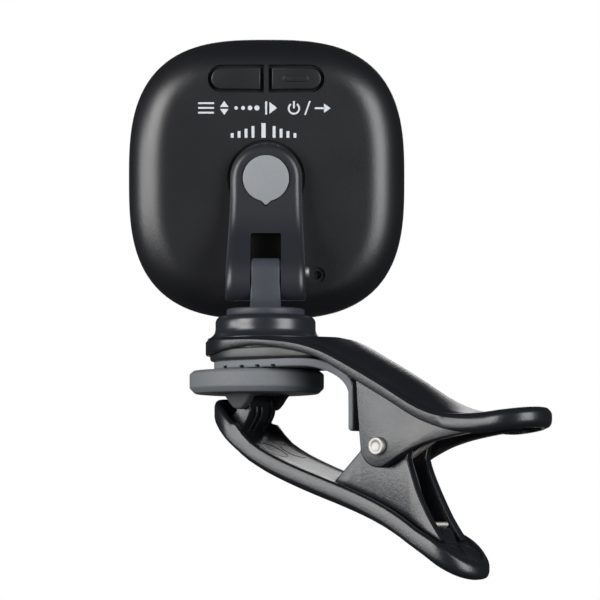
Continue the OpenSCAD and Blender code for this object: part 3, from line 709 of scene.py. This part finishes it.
combine(bracket, [prism(pointer_disc(3.60, 0.86, 4.24), 0, BACK - 2.0)])
hub = [(0, BACK - 0.2), (BRACKET_RADIUS, BACK - 0.2), (BRACKET_RADIUS, BACK + 0.42),
       (BRACKET_RADIUS - 0.1, BACK + 0.5), (0, BACK + 0.5)]
combine(bracket, [lathe(hub, 96, "y", (0, 0, HEAD_Z))], "UNION")
move(bracket, from_head)
finish(bracket, "bracket", "bracket_plastic", ("hinge_bracket",),
       bevel=0.07, sharp=34)

cap = build("cap_disc", [prism(pointer_disc(3.47, 0.76, 4.05), BACK - 3.02, BACK - 2.04, 0.03,
                               start_radius=0.10)], from_head)
finish(cap, "bracket", "cap_plastic", ("bracket_cap",), sharp=40)

hinge_profile = [(0, -5.9), (0.5, -5.9), (0.72, -5.8), (0.79, -5.7), (0.79, 6.2), (0.74, 6.36),
                 (0.60, 6.47), (0.42, 6.53), (0, 6.55)]
hinge_pin = build("pin_hinge", [lathe(hinge_profile, 40, "x")], from_head)
finish(hinge_pin, "bracket", "pin_nickel", ("hinge_pin",), sharp=40)

# ---------------------------------------------------------------- neck arm and foot
ARM_HALF = 2.1
# (y, z) down the -Y flank
flank = [(-ARM_HALF, 12.4), (-2.14, 11.2), (-2.35, 10.3), (-2.75, 9.7), (-3.2, 9.35), (-3.3, 9.1)]
arm_outline = arc(0, PIN_Z, ARM_HALF, range(0, 181, 10)) + flank
arm_outline += [(-y, z) for y, z in reversed(flank)]


def widening(point, height):
    """Along x, growing wider towards the foot."""
    scale = 1 + 0.09 * min(1.0, max(0.0, (15.5 - point[1]) / 6.2))
    return (height * scale, point[0], point[1])


foot_profile = rounded_profile([(0, 8.03), (5.75, 8.03), (5.8, 8.12), (5.8, 9.05, 0.34),
                                (0, 9.06)], 4)
neck = build("arm_neck", [prism(arm_outline, -ARM_HALF, ARM_HALF, 0.22, place=widening),
                          lathe(foot_profile), rod(3.5, 3.4, 8.1, 64, "z")])
# The neck's colour carries painted sheen from reflected light.
finish(neck, "neck", "neck_plastic", ("neck_arm",), sharp=38)

# ---------------------------------------------------------------- collar ring
COLLAR_BORE, COLLAR_RADIUS, COLLAR_ROUND = 3.56, 7.45, 1.1
profile = [(COLLAR_BORE, 4.62), (8.6, 4.58)]
profile += curve([(8.62, 4.50), (8.35, 4.66), (8.0, 4.90), (7.7, 5.22), (7.52, 5.6),
                  (COLLAR_RADIUS, 6.0), (COLLAR_RADIUS, 6.6)], 4)
profile += [(COLLAR_RADIUS - COLLAR_ROUND * (1 - math.cos(turn)),
             6.9 + COLLAR_ROUND * math.sin(turn)) for turn in quarter_turn(12)[1:]]
profile += [(COLLAR_BORE, 8.0), (COLLAR_BORE, 4.62)]
collar = build("collar_ring", [lathe(profile, 128)])
finish(collar, "clip", "collar_plastic", ("swivel_collar",), sharp=40)

# ---------------------------------------------------------------- upper jaw
# Both jaws run from a round nose at -along to a tail at +along.
# (along, z) of the jaw's top edge
top_edge = interpolator(curve([
    (-12, 4.6), (-6, 4.6), (0, 4.6), (4, 4.5), (8, 4.15), (11.4, 3.5), (14.9, 2.25),
    (19.7, -0.15), (24.9, -2.95), (30.2, -5.9), (34.5, -7.2), (39, -7.3), (43.4, -6.9),
    (50, -6.0)]))


def jaw_outline(nose_at, nose_radius, side, tail_at, tail_radius):
    """Plan view of a jaw: round nose, sides through (along, across) points, round tail."""
    points = arc(nose_at, 0, nose_radius, range(180, 90, -5)) + curve(side)
    points += arc(tail_at, 0, tail_radius, range(85, -1, -5))
    return points + mirrored(points[1:-1])


def jaw_ring(outline, start, end, inset, height):
    """Outline drawn in towards the middle line from start to end.

    inset is a number or a function of along; height is a function of along.
    """
    ring = []
    for along, across in outline:
        reach = inset(along) if callable(inset) else inset
        moved = pulled((along, across), (min(max(along, start), end), 0.0), reach)
        ring.append((*moved, height(moved[0])))
    return ring


UPPER_START, UPPER_END = 0, 41.8
upper_outline = jaw_outline(UPPER_START, 8.9, [
    (0, 8.9), (5, 8.35), (10, 7.2), (15, 6.45), (22, 6.1), (32, 6.0), (38, 6.0), (UPPER_END, 6.0)],
    UPPER_END, 6.0)


def crown(along):
    return 0.1 + 0.9 * smooth_step(6, 17, along) - 0.93 * smooth_step(27, 41, along)


def lip(along):
    return (0.3 * smooth_step(4, 12, along) + 0.4 * smooth_step(13, 20, along)
            + 0.85 * smooth_step(32, 40.5, along) + 1.2 * upper_nose(along))


def upper_nose(along):
    return 1 - smooth_step(-7, 5, along)


def upper_tail(along):
    return smooth_step(34, 41, along)


# Rings from the underside round the edge to the crown: inset, less this at the nose;
# height over the top edge, plus these shares of lip, tail and crown.
UPPER_RINGS = [
    (TO_MIDDLE, 0, -1.3, 0, 0, 0), (3.0, 0, -1.3, 0, 0, 0), (1.55, 0.93, -1.3, 0, 0, 0),
    (1.42, 0.9, -1.36, -0.3, 0, 0), (1.36, 0.88, -1.32, -1, 0, 0), (0.9, 0.55, -1.36, -1, 0, 0),
    (0.30, 0.12, -1.34, -1, 0.22, 0), (0.08, 0, -1.26, -1, 0.5, 0), (0, 0, -1.06, -1, 0.75, 0),
    (0, 0, -0.56, 0, -0.58, 0), (0.03, 0, -0.53, 0, -0.41, 0), (0.16, 0, -0.39, 0, -0.27, 0),
    (0.32, 0, -0.22, 0, -0.24, 0), (0.50, 0, -0.03, 0, -0.20, 0), (0.60, 0, 0, 0, -0.14, 0),
    (1.02, 0, 0, 0, 0, 0), (1.16, 0, 0, 0, 0, 0.16), (1.4, 0, 0, 0, 0, 0.5),
    (1.9, 0, 0, 0, 0, 0.85), (2.6, 0, 0, 0, 0, 1.2), (3.5, 0, 0, 0, 0, 1.52),
    (4.6, 0, 0, 0, 0, 1.76), (TO_MIDDLE, 0, 0, 0, 0, 1.9)]


def upper_ring(inset, nose_cut, offset, lip_share, tail_share, crown_share):
    return jaw_ring(
        upper_outline, UPPER_START, UPPER_END,
        lambda along: inset - nose_cut * upper_nose(along),
        lambda along: (top_edge(along) + offset + lip_share * lip(along)
                       + tail_share * upper_tail(along) + crown_share * crown(along)))


def nose_outline(inset, end):
    """The upper jaw's outline drawn in and cut off square at end."""
    ring = jaw_ring(upper_outline, UPPER_START, UPPER_END, inset, lambda along: 0)
    points = [(along, across) for along, across, z in ring if along < end and across >= 0]
    cut_half = next(across for along, across, z in ring if along >= end and across > 0)
    points.append((end, cut_half + 0.02))
    return points + mirrored(points[1:])


# ear plates down to the pivot, (along, z)
ear = [(19.25, -0.9), (19.45, -3.5), (19.7, -7.0), (20.0, -10.2)]
ear += arc(*PIVOT, 3.05, range(180, 291, 8))
ear += curve([(24.9, -14.15), (26.6, -13.2), (28.4, -12.35), (30.2, -11.65), (33, -10.9),
              (36, -10.35), (39, -9.9), (41.2, -9.55), (42.0, -9.0)], 3)
ear += [(42.1, -8.6)]
ear += [(along, top_edge(along) - 0.8) for along in (41.5, 38, 34, 31, 28, 25, 22, 20)]
cross_web = [(18.75, -0.6), (18.9, -8), (20, -8), (20.4, -1.2)]

solids = [rings([upper_ring(*row) for row in UPPER_RINGS], capped=False)]
solids += plate_pair(ear, 3.3, 5.0, 0.22)
solids.append(prism(cross_web, -3.4, 3.4, 0.1, 2))
# step above the pad carrier
solids.append(prism(nose_outline(0.75, 13.4), 2.80, 3.6, 0.05, 2, lambda point, height: (
    point[0], point[1], min(height, top_edge(point[0]) - 1.0))))
finish(build("jaw_upper", solids, from_clip), "clip", "clip_plastic",
       ("upper_jaw",), sharp=40)

carrier = [
    prism(nose_outline(0.66, 12.5), 1.22, 3.1, 0.42, 4, lambda point, height: (
        point[0], point[1], min(height, max(1.3, top_edge(point[0]) - 1.34)))),
    prism(nose_outline(1.3, 11.5), 1.18, 1.6, 0.04, 2, along_z)]
finish(build("carrier_plate", carrier, from_clip), "clip", "carrier_plastic",
       ("pad_carrier",), sharp=40)

# ---------------------------------------------------------------- upper rubber liner
LINER_TOP = 1.19
LINER_HALF = 7.65
LINER_ROUND = 0.28
# (along, z) of the faces against the jaw and away from it
liner_outer = curve([(-12, LINER_TOP), (4, LINER_TOP), (11, 1.15), (13.6, 0.75), (15.8, -0.2),
                     (17.4, -1.3), (18.35, -2.6), (18.5, -4), (18.5, -9)])
liner_inner = curve([(-12, 0), (4, 0), (10.6, 0), (13.2, -0.4), (15.2, -1.25), (16.7, -2.35),
                     (17.5, -3.6), (17.6, -4.6), (17.6, -9)])
# (along, half width)
liner_width = interpolator(curve([(0, LINER_HALF), (5, 7.35), (9, 6.7), (13, 5.4), (16, 4.5),
                                  (18.5, 4.3)], 4))


def liner_section(outer, inner, half_width, radius=LINER_ROUND, steps=4):
    """Rounded rectangle across the clip, between two points of the side plane."""
    inner = Vector(inner)
    axis = Vector(outer) - inner
    thick = axis.length
    axis.normalize()
    radius = min(radius, half_width * 0.9, thick * 0.45)
    side, top = half_width - radius, thick - radius
    ring = []
    for x, y, start in ((side, top, 0), (-side, top, 90), (-side, radius, 180),
                        (side, radius, 270)):
        for across, height in arc(x, y, radius, [start + 90 * k / steps for k in range(steps + 1)]):
            point = inner + axis * height
            ring.append((point.x, across, point.y))
    return ring


rows = [liner_section((-7.63, 0.95), (-7.63, 0.25), 0.55, 0.1)]
for turn in quarter_turn(18)[1:]:
    along = -LINER_HALF * math.cos(turn)
    rows.append(liner_section((along, LINER_TOP), (along, 0.0), LINER_HALF * math.sin(turn)))
for outer, inner in zip(liner_outer, liner_inner):
    if inner[0] > 0.2 and outer[0] > 0.5:
        middle = min((outer[0] + inner[0]) / 2, 18.5)
        rows.append(liner_section(outer, inner, liner_width(middle)))
# rounded lower end
END_ROUND = 0.45
for drop in (0.22, 0.36, 0.43, END_ROUND):
    reach = math.sqrt(max(0.0, END_ROUND ** 2 - drop ** 2))
    rows.append(liner_section((18.05 + reach, -9 - drop), (18.05 - reach, -9 - drop),
                              4.3 - LINER_ROUND * (drop / END_ROUND) ** 2, 0.25))
liner = build("liner_upper", [rings(rows)])
# four notches in the -across edge, (along, across)
notches = [(-2.0, -7.4), (1.16, -7.62), (3.86, -7.48), (6.46, -7.1)]
combine(liner, [prism(box(along - 0.4, along + 0.4, across - 1.6, across + 0.95), -0.3, 0.40,
                      place=along_z) for along, across in notches])
move(liner, from_clip)
finish(liner, "clip", "grip_rubber", ("upper_pad",), sharp=40)

# ---------------------------------------------------------------- lower jaw
LOWER_START, LOWER_END = -2.4, 32
LOWER_DEPTH = 2.45        # rim above the lower edge
# (along, z) of the lower edge
lower_curve = curve([
    (-8.1, -5.2), (-8.0, -6.1), (-7.3, -7.0), (-6.2, -7.9), (-4.9, -9.0), (-3.3, -10.4),
    (-1.4, -11.9), (0.9, -13.4), (3.6, -14.8), (7.2, -16.3), (11.3, -17.8), (15.4, -19.2),
    (19.2, -20.6), (22.5, -22.0), (25.2, -23.4), (27.6, -24.9), (30, -26.4), (32.5, -28.1),
    (34.5, -29.4), (36, -30.2), (38, -31.0), (39.5, -31.4)], 4)
lower_edge = interpolator(lower_curve)
offset_curve = []
for i, (along, z) in enumerate(lower_curve):
    before, after = lower_curve[max(i - 1, 0)], lower_curve[min(i + 1, len(lower_curve) - 1)]
    slope = direction(before, after).normalized()
    point = (along - slope.y * LOWER_DEPTH, z + slope.x * LOWER_DEPTH)
    if not offset_curve or point[0] > offset_curve[-1][0] + 1e-4:
        offset_curve.append(point)
middle_rim = interpolator(offset_curve)
# (along, z) of the rim at both ends
nose_rim = interpolator(curve([
    (-8.1, -4.15), (-7.6, -4.1), (-6.9, -4.3), (-6.0, -4.8), (-5.0, -5.45), (-4.2, -6.1),
    (-3.5, -6.72), (-2.9, -7.27), (LOWER_START, -7.75)], 4))
TAIL_RIM_START = 28.5
tail_rim = interpolator(curve([
    (TAIL_RIM_START, middle_rim(TAIL_RIM_START)), (30, -23.55), (31.5, -24.3), (33, -25.15),
    (34.5, -26.2), (36, -27.35), (37.6, -28.4), (39.5, -29.2)], 4))


def rim(along):
    if along < LOWER_START:
        return nose_rim(along)
    share = smooth_step(LOWER_START, 0.4, along)
    if share < 1:
        return nose_rim(LOWER_START) * (1 - share) + middle_rim(along) * share
    return tail_rim(along) if along > TAIL_RIM_START else middle_rim(along)


def depth_share(along):
    return min(1.3, (rim(along) - lower_edge(along)) / LOWER_DEPTH) if along > -3 else 1.0


def rim_floor(along):
    """The floor's height where it follows the rim."""
    sink = 0.45 * (depth_share(along) * (0.2 + 0.8 * smooth_step(13, 18, along)))
    return rim(along) - sink


def trough(along):
    """Floor of the lower jaw."""
    if along >= 0.4:
        return rim_floor(along)
    return max(lower_edge(along) + 0.7, rim_floor(0.4) + 0.55 * (0.4 - along))


def lower_nose(along):
    return 1 - smooth_step(-6.5, -1.0, along)


def lower_tail(along):
    return smooth_step(29, 36, along)


def belly(along):
    return depth_share(along) * (1 - 0.55 * lower_tail(along))


lower_outline = jaw_outline(LOWER_START, 5.65, [
    (LOWER_START, 5.65), (6, 5.65), (16, 5.6), (26, 5.55), (LOWER_END, 5.6)], LOWER_END, 5.6)
lower_ring = partial(jaw_ring, lower_outline, LOWER_START, LOWER_END)
# floor rings: inset, height over the floor
FLOOR_RINGS = [(TO_MIDDLE, 0), (2.6, 0), (1.35, 0.02), (1.16, 0.08)]
# rim rings: inset, height over the rim, less these shares of tail and nose
RIM_RINGS = [(0.86, 0, 0, 0), (0.5, 0, 0.05, 0.14), (0.24, -0.05, 0.15, 0.34),
             (0.06, -0.2, 0.2, 0.6), (0, -0.42, 0.2, 0.75)]
# underside rings: inset, height over the lower edge, shares of depth, tail and belly
UNDER_RINGS = [
    (0, 0, 0.55, 0.75, 0), (0.05, 0, 0.28, 0.68, 0), (0.18, 0.1, 0, 0.5, 0), (0.36, 0, 0, 0.36, 0),
    (0.62, 0, 0, 0.18, 0), (0.72, 0.22, 0, -0.10, 0), (0.95, 0.22, 0, -0.22, 0),
    (1.04, 0, 0, 0, -0.05), (1.3, 0, 0, 0, -0.35), (1.9, 0, 0, 0, -0.62), (2.7, 0, 0, 0, -0.82),
    (3.8, 0, 0, 0, -0.95), (TO_MIDDLE, 0, 0, 0, -1.0)]
rows = [lower_ring(inset, lambda along: trough(along) + offset) for inset, offset in FLOOR_RINGS]
rows.append(lower_ring(1.02, lambda along: min(rim(along) - 0.06, trough(along) + 0.24)))
rows += [lower_ring(inset, lambda along: (rim(along) + offset - tail * lower_tail(along)
                                          - nose * lower_nose(along)))
         for inset, offset, tail, nose in RIM_RINGS]
rows += [lower_ring(inset, lambda along: (lower_edge(along) + offset + depth * depth_share(along)
                                          + tail * lower_tail(along) + sag * belly(along)))
         for inset, offset, depth, tail, sag in UNDER_RINGS]
solids = [rings(rows, capped=False)]

# ear plates up to the pivot, (along, z)
ear = [(13.2, -17.95), (14.2, -16.95), (15.6, -15.6), (17.2, -14.0), (18.9, -12.35)]
ear += arc(*PIVOT, 4, range(178, -7, -8))
ear += curve([(26.9, -13.3), (27.3, -14.6), (27.9, -16.2), (28.7, -18.1), (29.65, -20.0),
              (30.85, -22.1), (32.8, -24.9)], 3)
ear += [(along, rim(along) - 0.4) for along in (32.4, 30, 27.5, 25, 22, 19, 17)]


def flared(point, height):
    """Along y, spread wider towards the bottom."""
    spread = 0.3 * (1 - smooth_step(-19.5, -14.5, point[1]))
    return (point[0], height + math.copysign(spread, height), point[1])


solids += plate_pair(ear, 1.8, 3.2, 0.2, place=flared)
# cradle that carries the pad axle: two curved cheeks over a solid block with two ribs
CRADLE_ARC = range(190, -30, -14)
cheek = arc(*AXLE, 1.03, CRADLE_ARC)
cheek += curve([(-0.45, -5.6), (-0.5, -6.4), (-0.95, -7.4), (-1.75, -8.5), (-2.5, -9.7)], 3)
cheek += [(-4.9, -9.0)]
cheek += curve([(-4.6, -8.0), (-3.95, -7.0), (-3.2, -6.2), (-2.8, -5.5)], 3)
solids += plate_pair(cheek, 2.35, 3.3, 0.22)
block = arc(*AXLE, 0.98, CRADLE_ARC)
block += [(-0.75, -6.4), (-1.2, -7.5), (-2.0, -8.6), (-2.7, -9.7), (-4.8, -9.0), (-4.5, -8.0),
          (-3.85, -7.0), (-3.1, -6.2)]
solids.append(prism(block, -2.5, 2.5, 0.1, 2))
rib = curve([(-0.62, -5.5), (-0.6, -6.3), (-0.95, -7.2), (-1.7, -8.3), (-2.5, -9.5)], 5)
for across in (-1.5, -0.2):
    solids.append(tube([(along, across, z) for along, z in rib], 0.34, 12))
spring_seat = [(28.2, -23.9), (28.6, -23.35), (29.4, -23.15), (31.0, -23.15), (31.8, -23.8),
               (32.4, -25.6), (28.4, -24.6)]
solids.append(prism(spring_seat, -1.5, 1.5, 0.12, 2))
# raised circles on the floor: along, across, radius
for along, across, radius in ((3.4, -2.35, 1.9), (3.4, 2.35, 1.9),
                              (34.2, -1.9, 1.55), (34.2, 1.9, 1.55)):
    solids.append(raised_circle(along, across, radius, 0.06, trough))
finish(build("jaw_lower", solids, from_clip), "lower_clip", "clip_plastic",
       ("lower_jaw",), sharp=40)

axle_profile = [(0, -4.6), (0.45, -4.6), (0.59, -4.5), (0.59, 4.5), (0.45, 4.6), (0, 4.6)]
axle = build("axle_pad", [lathe(axle_profile, 32, "y", (AXLE[0], 0, AXLE[1]))], from_clip)
finish(axle, "lower_clip", "pin_nickel", ("pad_axle",), sharp=40)

# ---------------------------------------------------------------- round pad
pad_profile = rounded_profile([
    (0, -0.15), (9.4, -0.15), (10.0, -0.62, 0.35), (10.0, -2.7, 0.5), (9.2, -3.52, 0.6),
    (8.2, -3.6), (0, -3.6)], 5)
pad = build("disc_pad", [lathe(pad_profile, 128, "z", (AXLE[0], 0, 0))], from_clip)
finish(pad, "grip", "grip_rubber", ("lower_pad",), sharp=40)

# (distance from the axle, z) down a lug's flank
flank = curve([(3.25, -3.4), (2.7, -3.68), (2.15, -4.2), (1.52, -5.05)], 5)
lug = [(AXLE[0] - reach, z) for reach, z in flank]
lug += [(AXLE[0] + 1.53 * math.cos(math.radians(angle)),
         AXLE[1] + 0.29 + 1.49 * math.sin(math.radians(angle))) for angle in range(214, 327, 8)]
lug += [(AXLE[0] + reach, z) for reach, z in reversed(flank)]
lugs = build("pad_lugs", plate_pair(lug, 3.5, 4.95, 0.34, 4), from_clip)
# The lugs take the darkened rubber, painted shade under the pad.
finish(lugs, "grip", "lug_rubber_painted_shade", sharp=40)

# ---------------------------------------------------------------- pivot pin and spring
# (radius, distance from the middle) of one end
pin_end = [(0, 5.57), (0.45, 5.575), (0.70, 5.60), (0.78, 5.66), (1.06, 5.66), (1.18, 5.64),
           (1.26, 5.58), (1.3, 5.48)]
pin_profile = [(radius, -height) for radius, height in pin_end] + pin_end[::-1]
pivot_pin = build("pin_pivot", [lathe(pin_profile, 64, "y", (PIVOT[0], 0, PIVOT[1]))], from_clip)
finish(pivot_pin, "clip", "pin_nickel", ("pivot_pin",), sharp=50)

COIL_RADIUS, COIL_HALF, COIL_STEPS = 2.15, 1.15, 240
COIL_START, COIL_SWEEP = 148.2, 1003.2    # degrees
# (along, across, z): upper leg, coil, lower leg
path = [(32.6, -1.6, -8.95), (32.6, -0.8, -8.95), (32.6, 0.2, -8.95), (32.5, 0.6, -8.96),
        (32.2, 0.95, -9.02), (31.7, 1.12, -9.1), (31.3, COIL_HALF, -9.2)]
for k in range(COIL_STEPS + 1):
    turn = math.radians(COIL_START + COIL_SWEEP * k / COIL_STEPS)
    path.append((PIVOT[0] + COIL_RADIUS * math.sin(turn),
                 COIL_HALF - 2 * COIL_HALF * k / COIL_STEPS,
                 PIVOT[1] + COIL_RADIUS * math.cos(turn)))
path += [(28.8, -1.2, -21.6), (29.1, -1.2, -22.15), (29.35, -1.1, -22.55), (29.5, -0.75, -22.74),
         (29.75, 0.0, -22.76), (30.05, 0.9, -22.76), (30.35, 1.85, -22.76)]
# Points on the lower leg, between the two clip halves, go with the spring's body tuple; finish bakes
# the spring in place.
blend_start, blend_end = (
    from_clip((PIVOT[0] + 0.389 * reach, -COIL_HALF, PIVOT[1] - 0.921 * reach)) * MM
    for reach in (2.8, 9.5))
finish(build("spring_coil", [tube(path, 0.38)], from_clip),
       ("clip", "lower_clip", blend_start, blend_end), "spring_steel",
       ("torsion_spring",), sharp=60)

# ---------------------------------------------------------------- CAD pieces kept as they are
KEPT_NODES = {
    "lcd_panel": "lcd_glass", "backlight": "diffuser_acrylic", "lcd_flex": "flex_film",
    "main_pcb": "board_laminate", "pcb_chips": "chip_epoxy", "pcb_screws": "screw_steel",
    "tact_switches": "switch_steel", "reset_switch": "switch_steel", "battery": "battery_foil",
    "battery_pad": "foam_pad", "usb_port": "port_steel", "piezo_disc": "brass_disc",
    "piezo_ceramic": "piezo_ceramic_mat", "reset_plunger": "natural_nylon",
    "spin_screw": "screw_steel", "spin_washer": "washer_steel",
    "friction_washers": "black_nylon", "swivel_screw": "screw_steel",
    "swivel_washer": "washer_steel"}
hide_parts("front_bezel")
for node_name, material_name in KEPT_NODES.items():
    slots = frame["nodes"][node_name].data.materials
    slots.clear()
    slots.append(MATERIALS[material_name])


# ---------------------------------------------------------------- stage, in metres
def stage_mesh(name, verts, faces, material):
    mesh = bpy.data.meshes.new(name)
    mesh.from_pydata(verts, [], faces)
    for polygon in mesh.polygons:
        polygon.use_smooth = True
    part = bpy.data.objects.new(name, mesh)
    bpy.context.scene.collection.objects.link(part)
    mesh.materials.append(material)
    return part


def emitter(name, strength):
    material, node = empty_material(name)
    glow = node("Emission", {"Color": (1, 1, 1, 1), "Strength": strength})
    node("OutputMaterial", {0: glow.outputs[0]})
    return material


# White floor that curves up into a backdrop; it is seen but casts no light or reflection.
FLOOR_Z, CURVE_Y, CURVE_RADIUS, SWEEP_HALF = -0.075, 0.9, 0.5, 3.0
paper = emitter("studio_paper", 1.0)
profile = [(-0.7, FLOOR_Z), (CURVE_Y, FLOOR_Z)]
profile += [(CURVE_Y + CURVE_RADIUS * math.sin(turn), FLOOR_Z + CURVE_RADIUS * (1 - math.cos(turn)))
            for turn in quarter_turn(12)[1:]]
profile.append((CURVE_Y + CURVE_RADIUS, 2.6))
sweep = stage_mesh(
    "studio_sweep", [(x, y, z) for y, z in profile for x in (-SWEEP_HALF, SWEEP_HALF)],
    [(2 * i, 2 * i + 1, 2 * i + 3, 2 * i + 2) for i in range(len(profile) - 1)], paper)
sweep.visible_diffuse = False
sweep.visible_glossy = False
sweep.visible_shadow = False

scene = bpy.context.scene
scene.view_settings.view_transform = "Standard"
world = bpy.data.worlds.new("studio_world")
scene.world = world
world.use_nodes = True
background = world.node_tree.nodes["Background"]
background.inputs["Color"].default_value = (0.96, 0.98, 1.0, 1)
background.inputs["Strength"].default_value = 0.04

LIGHT_TARGET = Vector((0.005, 0, 0.01))


def area_light(name, *, at, size, watts, colour):
    light = bpy.data.lights.new(name, "AREA")
    light.shape = "RECTANGLE"
    light.size, light.size_y = size
    light.energy = watts
    light.color = colour
    light.spread = math.radians(180)
    lamp = bpy.data.objects.new(name, light)
    scene.collection.objects.link(lamp)
    lamp.location = at
    lamp.rotation_euler = (LIGHT_TARGET - Vector(at)).to_track_quat("-Z", "Y").to_euler()


area_light("soft_left", at=(-0.42, -0.362, 0.13), size=(0.33, 0.36), watts=2.45,
           colour=(1.0, 0.995, 0.985))
area_light("soft_low_left", at=(-0.547, -0.125, 0.03), size=(0.20, 0.15), watts=0.68,
           colour=(0.98, 0.99, 1.0))
area_light("soft_right", at=(0.40, -0.39, 0.09), size=(0.32, 0.42), watts=2.5,
           colour=(0.98, 0.99, 1.0))


def glow_card(name, *, x_range, z_range, strength, y=0.9):
    """A card behind the object that shows in reflections alone."""
    material = emitter(name + "_glow", strength)
    corners = [along_y(corner, y) for corner in box(*x_range, *z_range)]
    card = stage_mesh(name, corners, [(0, 1, 2, 3)], material)
    card.visible_camera = False
    card.visible_diffuse = False
    card.visible_shadow = False


glow_card("card_high", x_range=(-0.08, 0.24), z_range=(0.20, 0.43), strength=2.6)
glow_card("card_low", x_range=(-0.05, 0.16), z_range=(-0.17, -0.04), strength=1.5)

camera_data = bpy.data.cameras.new("cam")
camera_data.lens = 161.6
camera_data.sensor_width = 36
camera = bpy.data.objects.new("cam", camera_data)
scene.collection.objects.link(camera)
camera.location = (0.00512, -0.39954, -0.02101)
camera.rotation_euler = (math.radians(94.5), 0, 0)
scene.camera = camera
